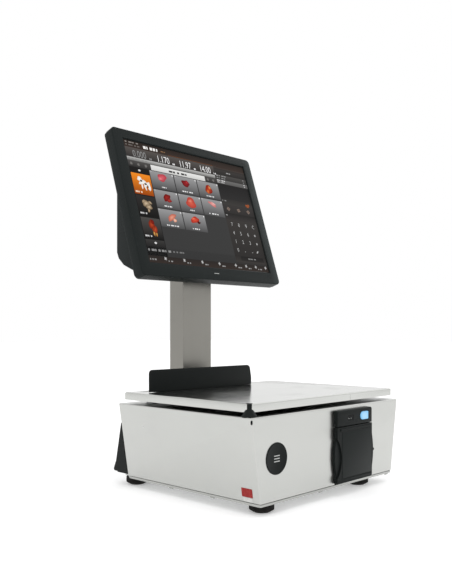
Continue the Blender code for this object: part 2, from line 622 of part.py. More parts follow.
def hinge_in_monitor():
    """The hinge axis in the monitor's own leaning axes: depth behind the glass and height up it."""
    dy = HINGE_Y - SCREEN_Y
    dz = HINGE_Z - SCREEN_Z
    depth = math.cos(TILT) * dy - math.sin(TILT) * dz
    height = math.sin(TILT) * dy + math.cos(TILT) * dz
    return depth, height


def make_monitor():
    depth, height = hinge_in_monitor()
    pivot = bpy.data.objects.new("monitor_pivot", None)
    bpy.context.scene.collection.objects.link(pivot)
    pivot.location = (0.0, HINGE_Y + FRAME_Y, HINGE_Z)
    pivot.rotation_euler = (-TILT, 0.0, 0.0)

    def leaning(bm):
        bmesh.ops.translate(bm, verts=bm.verts, vec=(0.0, -depth, -height))
        return bm

    x = BEZEL_X
    front = box(-x, x, BEZEL_FRONT, BEZEL_BACK, BEZEL_U0, BEZEL_U1)
    round_edges(front, 0.0080, 3, "Y")
    round_edges(front, 0.0016, 1, None, lambda e: max(v.co.y for v in e.verts) < BEZEL_FRONT + 0.0001)
    bezel = add("monitor_bezel", leaning(front), "charcoal", (0, 0, 0), pivot)
    t = 0.0025
    inside = box(-x + t, x - t, -GAP, 0.03, BEZEL_U0 + t, BEZEL_U1 - t, 0.006, 2, "Y")
    cut(bezel, "bezel_inside", leaning(inside), (0, 0, 0), pivot)
    window = box(-SCREEN_W / 2, SCREEN_W / 2, -0.01, 0.01, -SCREEN_H / 2, SCREEN_H / 2)
    cut(bezel, "bezel_window", leaning(window), (0, 0, 0), pivot)
    add("touch_glass", leaning(box(-0.1590, 0.1590, 0.0, 0.0030, -0.1210, 0.1210)), "glass", (0, 0, 0), pivot)
    add("lcd_panel", leaning(box(-0.1632, 0.1632, 0.0034, 0.0124, -0.1267, 0.1267)), "zinc", (0, 0, 0), pivot)
    plate = add("monitor_chassis", leaning(box(-0.1690, 0.1690, 0.0127, 0.0139, -0.1330, 0.1280)), "zinc", (0, 0, 0),
                pivot)
    for i, u in enumerate((-0.110, 0.100)):
        cut(plate, "chassis_cable_slot_%d" % i, leaning(box(0.0650, 0.1050, 0.0, 0.03, u, u + 0.010)), (0, 0, 0), pivot)
    make_housing(leaning, pivot)
    make_bracket(leaning, pivot, depth, height)
    make_monitor_boards(leaning, pivot)


def make_housing(leaning, pivot):
    x = BEZEL_X - 0.0006
    low = BEZEL_BACK + GAP
    flange = box(-x, x, low, HOUSING_BACK, BEZEL_U0 + 0.0006, BEZEL_U1 - 0.0006)
    round_edges(flange, 0.0078, 3, "Y")
    housing = add("monitor_housing", leaning(flange), "charcoal", (0, 0, 0), pivot)
    w = 0.1500
    wedge = [(0.0160, 0.1020), (0.0300, 0.0890), (0.0803, -0.0640), (0.0790, -0.0760), (0.0700, -0.0915),
             (0.0510, -0.1080), (0.0300, -0.1175), (0.0160, -0.1200)]
    outer = prism(wedge, -w, w, "X")
    round_edges(outer, 0.0050, 2, None, lambda e: abs(abs(e.verts[0].co.x) - w) < 1e-6 and abs(
        e.verts[0].co.x - e.verts[1].co.x) < 1e-6 and max(v.co.y for v in e.verts) > 0.0165)
    join(housing, "housing_wedge", leaning(outer), (0, 0, 0), pivot)
    hollow = [(0.0100, 0.0990), (0.0180, 0.0990), (0.0280, 0.0880), (0.0775, -0.0640), (0.0765, -0.0750),
              (0.0680, -0.0895), (0.0500, -0.1052), (0.0290, -0.1148), (0.0100, -0.1170)]
    room = prism(hollow, -w + 0.0035, w - 0.0035, "X")
    cavity = cut(housing, "housing_inside", leaning(room), (0, 0, 0), pivot)
    cut(cavity, "pocket_block", box(-0.0450, 0.0450, 0.1500, 0.26, 0.30, 0.4630))
    slot = cut(housing, "housing_pocket", box(-0.0425, 0.0425, 0.1440, 0.26, 0.30, 0.4605))
    slot.hide_render = True
    shallow = box(-x + 0.0025, x - 0.0025, 0.0, 0.0172, BEZEL_U0 + 0.0031, BEZEL_U1 - 0.0031, 0.005, 2, "Y")
    cut(housing, "housing_flange_inside", leaning(shallow), (0, 0, 0), pivot)
    for i in range(7):
        xs = -0.105 + 0.006 * i
        cut(housing, "vent_l_%d" % i, leaning(box(xs, xs + 0.003, 0.030, 0.100, -0.010, 0.040)), (0, 0, 0), pivot)
        xs = 0.066 + 0.006 * i
        cut(housing, "vent_r_%d" % i, leaning(box(xs, xs + 0.003, 0.030, 0.100, -0.010, 0.040)), (0, 0, 0), pivot)


def make_bracket(leaning, pivot, depth, height):
    low = 0.0142
    bracket = add("hinge_bracket", leaning(box(-0.0360, 0.0360, low, low + 0.0025, -0.0850, -0.0100)), "zinc",
                  (0, 0, 0), pivot)
    for key, x in (("l", -0.0290), ("r", 0.0245)):
        arm = [(low + 0.001, height - 0.018), (low + 0.001, height + 0.018), (depth, height + 0.0088),
               (depth, height - 0.0088)]
        join(bracket, "bracket_arm_" + key, leaning(prism(arm, x, x + 0.0045, "X")), (0, 0, 0), pivot)
        eye = rod(0.0090, x + 0.0001, x + 0.0044, (0, depth, height), "X", 24)
        join(bracket, "bracket_eye_" + key, leaning(eye), (0, 0, 0), pivot)
    cut(bracket, "bracket_bore", leaning(rod(0.0043, -0.05, 0.05, (0, depth, height), "X", 24)), (0, 0, 0), pivot)


def make_monitor_boards(leaning, pivot):
    low = 0.0142
    pcb = add("computer_board", leaning(box(0.0550, 0.1400, 0.0220, 0.0236, -0.0950, 0.0500)), "board", (0, 0, 0), pivot)
    for i, (x, u) in enumerate(((0.060, -0.090), (0.135, -0.090), (0.060, 0.045), (0.135, 0.045))):
        join(pcb, "pcb_leg_%d" % i, leaning(rod(0.0030, low, 0.0225, (x, 0, u), "Y", 8)), (0, 0, 0), pivot)
    join(pcb, "pcb_sockets", leaning(box(0.0600, 0.1200, 0.0230, 0.0330, -0.0930, -0.0800)), (0, 0, 0), pivot)
    join(pcb, "pcb_memory", leaning(box(0.1250, 0.1330, 0.0230, 0.0320, -0.0600, 0.0200)), (0, 0, 0), pivot)
    sink = add("heat_sink", leaning(box(0.0700, 0.1150, 0.0239, 0.0270, -0.0600, -0.0150)), "aluminium", (0, 0, 0), pivot)
    for i in range(7):
        x = 0.0705 + 0.0071 * i
        join(sink, "sink_fin_%d" % i, leaning(box(x, x + 0.0014, 0.0265, 0.0400, -0.0598, -0.0152)), (0, 0, 0), pivot)
    drv = add("driver_board", leaning(box(-0.1350, -0.0700, 0.0200, 0.0216, -0.0800, 0.0000)), "board", (0, 0, 0), pivot)
    for i, (x, u) in enumerate(((-0.130, -0.075), (-0.075, -0.075), (-0.130, -0.005), (-0.075, -0.005))):
        join(drv, "drv_leg_%d" % i, leaning(rod(0.0030, low, 0.0205, (x, 0, u), "Y", 8)), (0, 0, 0), pivot)
    join(drv, "drv_coil", leaning(box(-0.1200, -0.1000, 0.0210, 0.0290, -0.0600, -0.0400)), (0, 0, 0), pivot)


def main():
    clear_scene()
    make_base()
    make_shell()
    make_rear_cover()
    make_connections()
    make_trims()
    make_electronics()
    make_weighing()
    make_printer()
    make_column()
    make_monitor()


if __name__ == "__main__":
    main()
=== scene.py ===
"""Touchscreen retail weighing scale with a label printer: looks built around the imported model.

Lengths are in metres. Pieces of the body are modelled about the body's centre line and moved back by
CENTRE_Y at the end; pieces of the monitor are modelled flat (x across, y behind the glass, z up it)
and leaned back by the screen's tilt. Every finished piece sits at the world origin.
"""
import math

import bmesh
import bpy
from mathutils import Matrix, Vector


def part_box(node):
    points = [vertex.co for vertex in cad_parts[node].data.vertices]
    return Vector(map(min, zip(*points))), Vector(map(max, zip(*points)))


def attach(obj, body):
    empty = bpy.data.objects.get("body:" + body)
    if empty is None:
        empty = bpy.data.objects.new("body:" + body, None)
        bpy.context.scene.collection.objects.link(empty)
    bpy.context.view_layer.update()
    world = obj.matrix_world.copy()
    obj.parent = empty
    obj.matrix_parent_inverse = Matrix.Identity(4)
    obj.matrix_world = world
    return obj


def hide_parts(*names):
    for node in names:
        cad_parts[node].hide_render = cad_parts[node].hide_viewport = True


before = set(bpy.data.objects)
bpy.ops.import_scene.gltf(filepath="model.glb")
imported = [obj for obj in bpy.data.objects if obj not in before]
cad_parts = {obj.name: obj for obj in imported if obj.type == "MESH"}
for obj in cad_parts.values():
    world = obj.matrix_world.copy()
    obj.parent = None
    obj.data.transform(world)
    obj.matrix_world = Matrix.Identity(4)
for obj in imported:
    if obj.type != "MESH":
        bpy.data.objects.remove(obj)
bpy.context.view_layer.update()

bl_info = {
    "name": "Retail Scale",
    "version": (1, 0, 0),
    "blender": (4, 5, 0),
    "location": "3D View > Sidebar > Retail Scale",
    "description": "Builds a touchscreen weighing scale with a label printer",
    "category": "Object",
}

AXES = {"X": 0, "Y": 1, "Z": 2}
SMOOTH_ANGLE = math.radians(32.0)

# ---------------------------------------------------------------- places taken from the frame

SHELL_LOW, SHELL_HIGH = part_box("body_shell")
PLATE_LOW, PLATE_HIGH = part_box("weigh_plate")
GUARD_LOW, GUARD_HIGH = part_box("backstop")
DOOR_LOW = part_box("cassette_door")[0]
FASCIA_LOW, FASCIA_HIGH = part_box("printer_fascia")
POST_LOW, POST_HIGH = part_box("post")
CENTRE_Y = (SHELL_LOW.y + SHELL_HIGH.y) / 2

BODY_HALF = SHELL_HIGH.x + 0.0004
BODY_FRONT = SHELL_LOW.y - CENTRE_Y
BODY_BACK = SHELL_HIGH.y - CENTRE_Y
BODY_LOW = SHELL_LOW.z
BODY_TOP = SHELL_HIGH.z
BODY_LEAN = 0.0195
SHEET = 0.0012
GAP = 0.0003
GUARD_SEAT = 0.0003

PRINTER_LEFT = FASCIA_LOW.x
PRINTER_RIGHT = FASCIA_HIGH.x
PRINTER_FRONT = FASCIA_LOW.y - CENTRE_Y
PRINTER_TOP = FASCIA_HIGH.z
PRINTER_SLOT = 0.1090
PRINTER_BOTTOM = DOOR_LOW.z

BUTTON_X = (0.0652, 0.0866)
BUTTON_Z = (0.1164, 0.1290)
BUTTON_FRONT = -0.1556
BUTTON_GAP = 0.0006
GRIP_Z = (0.0310, 0.0970)
LATCH_Y = -0.1508
LATCH_Z = 0.0640
LEVEL = (-0.150, 0.110, 0.0)

SCREEN_TILT = math.radians(18.2)
SCREEN_CENTRE = Vector((0.0, 0.1503 + CENTRE_Y, 0.4829))
SCREEN_WIDTH = 0.3045
SCREEN_HEIGHT = 0.2285
BEZEL_SIDE = 0.1753
BEZEL_BOTTOM = -0.1390
BEZEL_TOP = 0.1340
BEZEL_FRONT = -0.0025
BEZEL_BACK = 0.0140


class ScaleSizes(bpy.types.PropertyGroup):
    """Sizes that a maker would change."""

    fold_radius: bpy.props.FloatProperty(
        name="Fold radius", description="Outer radius of the folded steel edges of the body",
        default=0.0016, min=0.0005, max=0.006, unit="LENGTH")
    plate_radius: bpy.props.FloatProperty(
        name="Plate edge radius", description="Outer radius round the weighing plate",
        default=0.0022, min=0.0005, max=0.005, unit="LENGTH")
    bezel_corner: bpy.props.FloatProperty(
        name="Bezel corner", description="Corner radius of the monitor's front frame",
        default=0.0085, min=0.002, max=0.02, unit="LENGTH")
    bezel_edge: bpy.props.FloatProperty(
        name="Bezel edge", description="Rounding of the front frame's outer edge",
        default=0.0020, min=0.0005, max=0.004, unit="LENGTH")
    guard_corner: bpy.props.FloatProperty(
        name="Guard corner", description="Corner radius of the upright guard on the plate",
        default=0.0070, min=0.002, max=0.02, unit="LENGTH")


class ScaleTints(bpy.types.PropertyGroup):
    """Colours and light that a maker would change."""

    steel: bpy.props.FloatVectorProperty(
        name="Steel", description="Tint of the polished stainless body and plate",
        default=(0.520, 0.526, 0.506), subtype="COLOR", min=0.0, max=1.0)
    column: bpy.props.FloatVectorProperty(
        name="Column steel", description="Tint of the brushed steel column",
        default=(0.245, 0.238, 0.217), subtype="COLOR", min=0.0, max=1.0)
    charcoal: bpy.props.FloatVectorProperty(
        name="Charcoal plastic", description="Colour of the monitor's mouldings",
        default=(0.0105, 0.0135, 0.0132), subtype="COLOR", min=0.0, max=1.0)
    black: bpy.props.FloatVectorProperty(
        name="Black plastic", description="Colour of the printer, guard and rear cover",
        default=(0.0082, 0.0100, 0.0097), subtype="COLOR", min=0.0, max=1.0)
    button: bpy.props.FloatVectorProperty(
        name="Button glow", description="Colour of the lit print button",
        default=(0.200, 0.560, 0.900), subtype="COLOR", min=0.0, max=1.0)
    label: bpy.props.FloatVectorProperty(
        name="Red label", description="Colour of the red label on the side",
        default=(0.270, 0.013, 0.013), subtype="COLOR", min=0.0, max=1.0)
    screen_glow: bpy.props.FloatProperty(
        name="Screen brightness", description="Strength of the lit picture",
        default=1.0, min=0.0, max=4.0)


# ---------------------------------------------------------------- modelling by operators


def unselect():
    if bpy.context.object and bpy.context.object.mode != "OBJECT":
        bpy.ops.object.mode_set(mode="OBJECT")
    bpy.ops.object.select_all(action="DESELECT")


def only(obj):
    unselect()
    obj.select_set(True)
    bpy.context.view_layer.objects.active = obj
    return obj


def settle(obj):
    """Puts the object's place, turn and size into its mesh."""
    only(obj)
    bpy.ops.object.transform_apply(location=True, rotation=True, scale=True)
    return obj


def block(x, y, z):
    """A box between pairs of limits."""
    unselect()
    centre = [(a + b) / 2 for a, b in (x, y, z)]
    bpy.ops.mesh.primitive_cube_add(size=1.0, location=centre)
    obj = bpy.context.object
    obj.scale = [b - a for a, b in (x, y, z)]
    return settle(obj)


def drum(radius, limits, centre, axis="Z", steps=40, second=None):
    """A round bar between two limits on an axis; second is the radius at its far end."""
    unselect()
    place = list(centre)
    place[AXES[axis]] = sum(limits) / 2
    turn = {"X": (0.0, math.pi / 2, 0.0), "Y": (-math.pi / 2, 0.0, 0.0), "Z": (0.0, 0.0, 0.0)}[axis]
    far = radius if second is None else second
    bpy.ops.mesh.primitive_cone_add(vertices=steps, radius1=radius, radius2=far, depth=limits[1] - limits[0],
                                    location=place, rotation=turn)
    return settle(bpy.context.object)


def shape(obj, kind, test, operator, **values):
    """Selects the points, edges or faces that the test picks and runs one edit operator on them."""
    only(obj)
    bpy.ops.object.mode_set(mode="EDIT")
    bpy.context.tool_settings.mesh_select_mode = (kind == "POINT", kind == "EDGE", kind == "FACE")
    bpy.ops.mesh.select_all(action="DESELECT")
    work = bmesh.from_edit_mesh(obj.data)
    items = {"POINT": work.verts, "EDGE": work.edges, "FACE": work.faces}[kind]
    chosen = [item for item in items if test(item)]
    if not chosen:
        raise RuntimeError(f"nothing on {obj.name} matches the {kind.lower()} test")
    for item in chosen:
        item.select_set(True)
    work.select_flush_mode()
    bmesh.update_edit_mesh(obj.data)
    operator(**values)
    bpy.ops.object.mode_set(mode="OBJECT")
    return obj


def lies(item, axis, place, near=1e-4):
    """Whether all points of an edge or face are at one place along an axis."""
    return all(abs(v.co[AXES[axis]] - place) < near for v in item.verts)


def runs(edge, axis, share=0.9):
    """Whether an edge runs along an axis."""
    span = edge.verts[1].co - edge.verts[0].co
    return abs(span[AXES[axis]]) > share * span.length


def middle(edge, axis):
    return (edge.verts[0].co[AXES[axis]] + edge.verts[1].co[AXES[axis]]) / 2


def round_off(obj, width, segments, test):
    return shape(obj, "EDGE", test, bpy.ops.mesh.bevel, offset=width, segments=segments, affect="EDGES",
                 profile=0.5, clamp_overlap=True)


def resize_end(obj, axis, place, value, centre):
    """Scales the face at one end about a point."""
    return shape(obj, "FACE", lambda f: lies(f, axis, place), bpy.ops.transform.resize, value=value,
                 center_override=centre)


def open_lid(obj, low):
    """Takes the bottom off a box and gives the rest the thickness of the sheet."""
    shape(obj, "FACE", lambda f: lies(f, "Z", low), bpy.ops.mesh.delete, type="FACE")
    only(obj)
    bpy.ops.object.modifier_add(type="SOLIDIFY")
    step = obj.modifiers[-1]
    step.thickness = SHEET
    step.offset = -1.0
    bpy.ops.object.modifier_apply(modifier=step.name)


def slice_off(obj, point, normal):
    """Cuts away what lies beyond a plane and closes the cut."""
    only(obj)
    bpy.ops.object.mode_set(mode="EDIT")
    bpy.ops.mesh.select_all(action="SELECT")
    bpy.ops.mesh.bisect(plane_co=point, plane_no=normal, use_fill=True, clear_outer=True, clear_inner=False)
    bpy.ops.object.mode_set(mode="OBJECT")
    return obj


def wedge(points, limits):
    """A bar along X with a convex outline of (y, z) points, given anticlockwise seen from the right."""
    ys = [p[0] for p in points]
    zs = [p[1] for p in points]
    obj = block(limits, (min(ys), max(ys)), (min(zs), max(zs)))
    for (y0, z0), (y1, z1) in zip(points, points[1:] + points[:1]):
        normal = Vector((0.0, z1 - z0, y0 - y1)).normalized()
        if max(abs(normal.y), abs(normal.z)) < 0.9999:
            slice_off(obj, (0.0, y0, z0), normal)
    return obj


def combine(obj, tool, operation):
    only(obj)
    bpy.ops.object.modifier_add(type="BOOLEAN")
    step = obj.modifiers[-1]
    step.operation = operation
    step.solver = "EXACT"
    step.object = tool
    bpy.ops.object.modifier_apply(modifier=step.name)
    only(tool)
    bpy.ops.object.delete()
    return obj


def cut(obj, tool):
    return combine(obj, tool, "DIFFERENCE")


def fuse(obj, tool):
    return combine(obj, tool, "UNION")


def together(objects):
    """Joins separate shells into one piece."""
    only(objects[0])
    for other in objects[1:]:
        other.select_set(True)
    if len(objects) > 1:
        bpy.ops.object.join()
    return objects[0]


def twin(obj, shift=(0.0, 0.0, 0.0)):
    """A copy with its own mesh, moved."""
    only(obj)
    bpy.ops.object.duplicate(linked=False)
    copy = bpy.context.object
    copy.location = Vector(copy.location) + Vector(shift)
    return settle(copy)


def lean_back(obj):
    """Takes a piece from the flat monitor's space to its place behind the tilt."""
    obj.rotation_euler = (-SCREEN_TILT, 0.0, 0.0)
    obj.location = SCREEN_CENTRE
    return settle(obj)


def move_back(obj):
    obj.location.y += CENTRE_Y
    return settle(obj)


def finish_piece(obj, name, body, look, nodes):
    """Names a placed piece, smooths it, gives it its finish and ties it to its body."""
    obj.name = name
    obj.data.name = name
    only(obj)
    bpy.ops.object.shade_smooth_by_angle(angle=SMOOTH_ANGLE)
    obj.data.materials.clear()
    obj.data.materials.append(look)
    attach(obj, body)
    if nodes:
        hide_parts(*nodes)
    return obj


def side_half(z):
    """Half the body's width at a height: its sides lean inward going down."""
    return BODY_HALF - BODY_LEAN * (BODY_TOP - z) / (BODY_TOP - BODY_LOW)


# ---------------------------------------------------------------- finishes


class Wire:
    """One output socket of a finish. Sums on it add Math nodes."""

    def __init__(self, look, socket):
        self.look = look
        self.socket = socket

    def sum(self, operation, first, second=0.0):
        return self.look.node("ShaderNodeMath", {"operation": operation}, {0: first, 1: second})

    def __add__(self, other):
        return self.sum("ADD", self, other)

    def __sub__(self, other):
        return self.sum("SUBTRACT", self, other)

    def __rsub__(self, other):
        return self.sum("SUBTRACT", other, self)

    def __mul__(self, other):
        return self.sum("MULTIPLY", self, other)

    def __pow__(self, other):
        return self.sum("POWER", self, other)

    def __gt__(self, other):
        return self.sum("GREATER_THAN", self, other)

    __radd__ = __add__
    __rmul__ = __mul__


class Finish:
    """A material in the making, with one method that adds any node."""

    def __init__(self, name, **fixed):
        self.material = bpy.data.materials.new(name)
        self.material.use_nodes = True
        self.tree = self.material.node_tree
        self.shader = self.tree.nodes["Principled BSDF"]
        self.place = None
        self.set(**fixed)

    def node(self, kind, settings, inputs, output=0):
        made = self.tree.nodes.new(kind)
        for key, value in settings.items():
            setattr(made, key, value)
        for key, value in inputs.items():
            self.feed(made.inputs[key], value)
        return Wire(self, made.outputs[output])

    def feed(self, socket, value):
        if isinstance(value, Wire):
            self.tree.links.new(value.socket, socket)
        elif socket.type == "RGBA" and len(value) == 3:
            socket.default_value = (*value, 1.0)
        else:
            socket.default_value = value

    def set(self, **values):
        for key, value in values.items():
            self.feed(self.shader.inputs[key.replace("_", " ")], value)

    def where(self, scale=(1.0, 1.0, 1.0), centre=(0.0, 0.0, 0.0)):
        """Object coordinates, centred and stretched."""
        if self.place is None:
            self.place = self.node("ShaderNodeTexCoord", {}, {}, "Object")
        back = tuple(-c * s for c, s in zip(centre, scale))
        return self.node("ShaderNodeMapping", {"vector_type": "POINT"},
                         {"Vector": self.place, "Location": back, "Scale": scale})

    def noise(self, scale, detail=2.0, stretch=(1.0, 1.0, 1.0)):
        return self.node("ShaderNodeTexNoise", {}, {"Vector": self.where(stretch), "Scale": scale, "Detail": detail})

    def cells(self, scale, output="Color"):
        return self.node("ShaderNodeTexVoronoi", {}, {"Vector": self.where(), "Scale": scale}, output)

    def part(self, vector, axis):
        return self.node("ShaderNodeSeparateXYZ", {}, {0: vector}, AXES[axis])

    def blend(self, factor, first, second):
        return self.node("ShaderNodeMix", {"data_type": "RGBA"}, {0: factor, 6: first, 7: second}, 2)

    def limit(self, value, low, high):
        """Runs from 0 to 1 between two values."""
        return self.node("ShaderNodeMapRange", {"interpolation_type": "SMOOTHSTEP"},
                         {"Value": value, "From Min": low, "From Max": high})

    def relief(self, height, strength, distance):
        bump = {"Strength": strength, "Distance": distance, "Height": height}
        self.set(Normal=self.node("ShaderNodeBump", {}, bump))


def tinted(colour, share):
    return tuple(min(1.0, c * share) for c in colour)


def steel_finish(name, tint, rough, stretch, grain=0.10, lines=0.02):
    """Rolled steel: long fine lines, faint clouds of polish and a few wiped smears."""
    look = Finish(name, Metallic=1.0)
    lined = look.noise(70.0, 3.0, stretch)
    cloud = look.noise(7.0, 2.0)
    smear = look.limit(look.noise(16.0, 3.0, (1.0, 1.0, 2.4)), 0.52, 0.72)
    look.set(Base_Color=look.blend(cloud * 0.7 + lined * 0.3, tinted(tint, 0.95), tinted(tint, 1.05)))
    look.set(Roughness=rough + grain * (lined - 0.5) + 0.05 * smear)
    look.relief(lined, lines, 0.0002)
    return look.material


def moulded_finish(name, tint, rough=0.42, grain=1500.0, depth=0.12, gloss=0.09, right_sheen=0.0):
    """Moulded plastic: fine spark-eroded grain, faint colour clouds and light rubbing; a painted highlight can pale
    its right edge.
    """
    look = Finish(name, Specular_IOR_Level=gloss)
    grained = look.noise(grain, 2.0)
    cloud = look.noise(9.0, 2.0)
    rubbed = look.limit(look.noise(55.0, 4.0), 0.55, 0.75)
    base = look.blend(cloud, tinted(tint, 0.88), tinted(tint, 1.14))
    if right_sheen:
        # painted highlight: pales the moulding towards its right edge, where the light falls on it
        right_sheen_mask = look.limit(look.part(look.where(), "X"), 0.150, 0.172)
        base = look.blend(right_sheen * right_sheen_mask, base, tinted(tint, 3.2))
    look.set(Base_Color=look.blend(0.25 * rubbed, base, tinted(tint, 1.7)))
    look.set(Roughness=rough + 0.10 * (grained - 0.5) + 0.05 * rubbed)
    look.relief(grained, depth, 0.00012)
    return look.material


def zinc_finish(name, tint=(0.50, 0.51, 0.50)):
    """Zinc-coated sheet with its spangle."""
    look = Finish(name, Metallic=1.0)
    spangle = look.part(look.cells(160.0), "X")
    fine = look.noise(700.0, 2.0)
    look.set(Base_Color=look.blend(spangle, tinted(tint, 0.82), tinted(tint, 1.16)))
    look.set(Roughness=0.30 + 0.16 * spangle + 0.06 * fine)
    look.relief(fine, 0.05, 0.0001)
    return look.material


def cast_finish(name, tint=(0.58, 0.59, 0.60)):
    """Cast aluminium: small pits and a dull bloom."""
    look = Finish(name, Metallic=1.0)
    pits = look.cells(420.0, output="Distance")
    bloom = look.noise(22.0, 3.0)
    look.set(Base_Color=look.blend(bloom, tinted(tint, 0.86), tinted(tint, 1.08)))
    look.set(Roughness=0.34 + 0.18 * bloom)
    look.relief(pits, 0.10, 0.0003)
    return look.material


def brass_finish(name):
    look = Finish(name, Metallic=1.0)
    turned = look.noise(240.0, 3.0, (8.0, 1.0, 1.0))
    look.set(Base_Color=look.blend(turned, (0.48, 0.34, 0.13), (0.70, 0.54, 0.25)))
    look.set(Roughness=0.28 + 0.14 * turned)
    return look.material


def board_finish(name):
    """Circuit board: lacquered green with copper tracks and tinned pads."""
    look = Finish(name, Roughness=0.38)
    tracks = look.node("ShaderNodeTexBrick", {"offset": 0.5},
                       {"Vector": look.where((1.0, 1.0, 1.0)), "Scale": 90.0, "Mortar Size": 0.03,
                        "Color1": (0.012, 0.095, 0.040, 1.0), "Color2": (0.016, 0.120, 0.050, 1.0),
                        "Mortar": (0.035, 0.170, 0.070, 1.0)})
    pads = look.cells(330.0, output="Distance")
    pad = 1.0 - look.limit(pads, 0.12, 0.20)
    look.set(Base_Color=look.blend(pad * (look.noise(30.0) > 0.5), tracks, (0.55, 0.54, 0.48)))
    look.relief(pad, 0.2, 0.0002)
    return look.material


def rubber_finish(name):
    look = Finish(name, Specular_IOR_Level=0.2)
    dusty = look.limit(look.noise(130.0, 4.0), 0.50, 0.80)
    look.set(Base_Color=look.blend(0.5 * dusty, (0.0075, 0.0065, 0.006), (0.035, 0.032, 0.030)))
    look.set(Roughness=0.70 + 0.2 * dusty)
    look.relief(look.noise(900.0, 2.0), 0.25, 0.0002)
    return look.material


def roll_finish(name, centre):
    """Wound label paper: its wound edges show as fine rings."""
    look = Finish(name, Roughness=0.72)
    spot = look.where((1.0, 1.0, 1.0), centre)
    across, up = look.part(spot, "Y"), look.part(spot, "Z")
    ring = look.node("ShaderNodeMath", {"operation": "SINE"}, {0: ((across * across + up * up) ** 0.5) * 9000.0})
    fibre = look.noise(600.0, 3.0)
    look.set(Base_Color=look.blend(0.5 * (ring + 1.0) * 0.6 + 0.4 * fibre, (0.66, 0.65, 0.61), (0.86, 0.85, 0.82)))
    look.relief(fibre, 0.08, 0.0002)
    return look.material


def window_finish(name, tint, coat):
    """Tinted clear plastic with faint swirls."""
    look = Finish(name, Coat_Weight=coat, Coat_Roughness=0.05, Specular_IOR_Level=0.5 * coat)
    swirl = look.noise(60.0, 2.0)
    look.set(Base_Color=look.blend(swirl, tinted(tint, 0.85), tinted(tint, 1.2)))
    look.set(Roughness=0.10 + 0.08 * swirl)
    return look.material


def glow_finish(name, tint, centre):
    """A lit button: brightest in the middle, with a darker rim."""
    look = Finish(name, Roughness=0.35, Emission_Strength=0.42)
    spot = look.where((1.0, 1.0, 1.3), centre)
    across, up = look.part(spot, "X"), look.part(spot, "Z")
    far = (across * across + up * up) ** 0.5
    rim = look.limit(far, 0.003, 0.0125)
    milky = look.noise(300.0, 2.0)
    pale = tuple(0.45 + 0.55 * c for c in tint)
    look.set(Base_Color=look.blend(milky, tinted(tint, 0.5), tinted(tint, 0.65)))
    look.set(Emission_Color=look.blend(rim, pale, tint))
    return look.material


def label_finish(name, tint, print_tint):
    """A printed label: flat colour with plain thin bars and a soft grain."""
    look = Finish(name, Roughness=0.45, Specular_IOR_Level=0.2)
    up = look.part(look.where(), "Z")
    bars = look.node("ShaderNodeMath", {"operation": "SINE"}, {0: up * 4200.0}) > 0.55
    broken = look.noise(420.0, 2.0) > 0.52
    paper = look.noise(260.0, 3.0)
    look.set(Base_Color=look.blend(0.45 * bars * broken, look.blend(paper, tinted(tint, 0.85), tinted(tint, 1.12)),
                                   print_tint))
    return look.material


def picture_finish(name, strength):
    """The lit picture: its colours come from the mesh."""
    look = Finish(name, Roughness=0.40, Specular_IOR_Level=0.03, Emission_Strength=strength)
    painted = look.node("ShaderNodeAttribute", {"attribute_name": "Picture"}, {}, "Color")
    dim = look.node("ShaderNodeVectorMath", {"operation": "SCALE"}, {0: painted, "Scale": 0.01})
    look.set(Base_Color=dim, Emission_Color=painted)
    return look.material


def glass_finish(name):
    """Dark glass over the display with faint wiping marks."""
    look = Finish(name, Specular_IOR_Level=0.25)
    wiped = look.noise(24.0, 3.0, (1.0, 1.0, 3.0))
    look.set(Base_Color=look.blend(wiped, (0.0060, 0.0068, 0.0068), (0.0085, 0.0090, 0.0090)))
    look.set(Roughness=0.16 + 0.12 * wiped)
    return look.material


def floor_finish(name):
    look = Finish(name, Roughness=0.75, Specular_IOR_Level=0.1, Emission_Strength=0.30,
                  Emission_Color=(1.0, 1.0, 1.0, 1.0))
    soft = look.noise(3.0, 2.0)
    look.set(Base_Color=look.blend(soft, (0.885, 0.885, 0.890), (0.905, 0.905, 0.905)))
    return look.material


FINISHES = {}


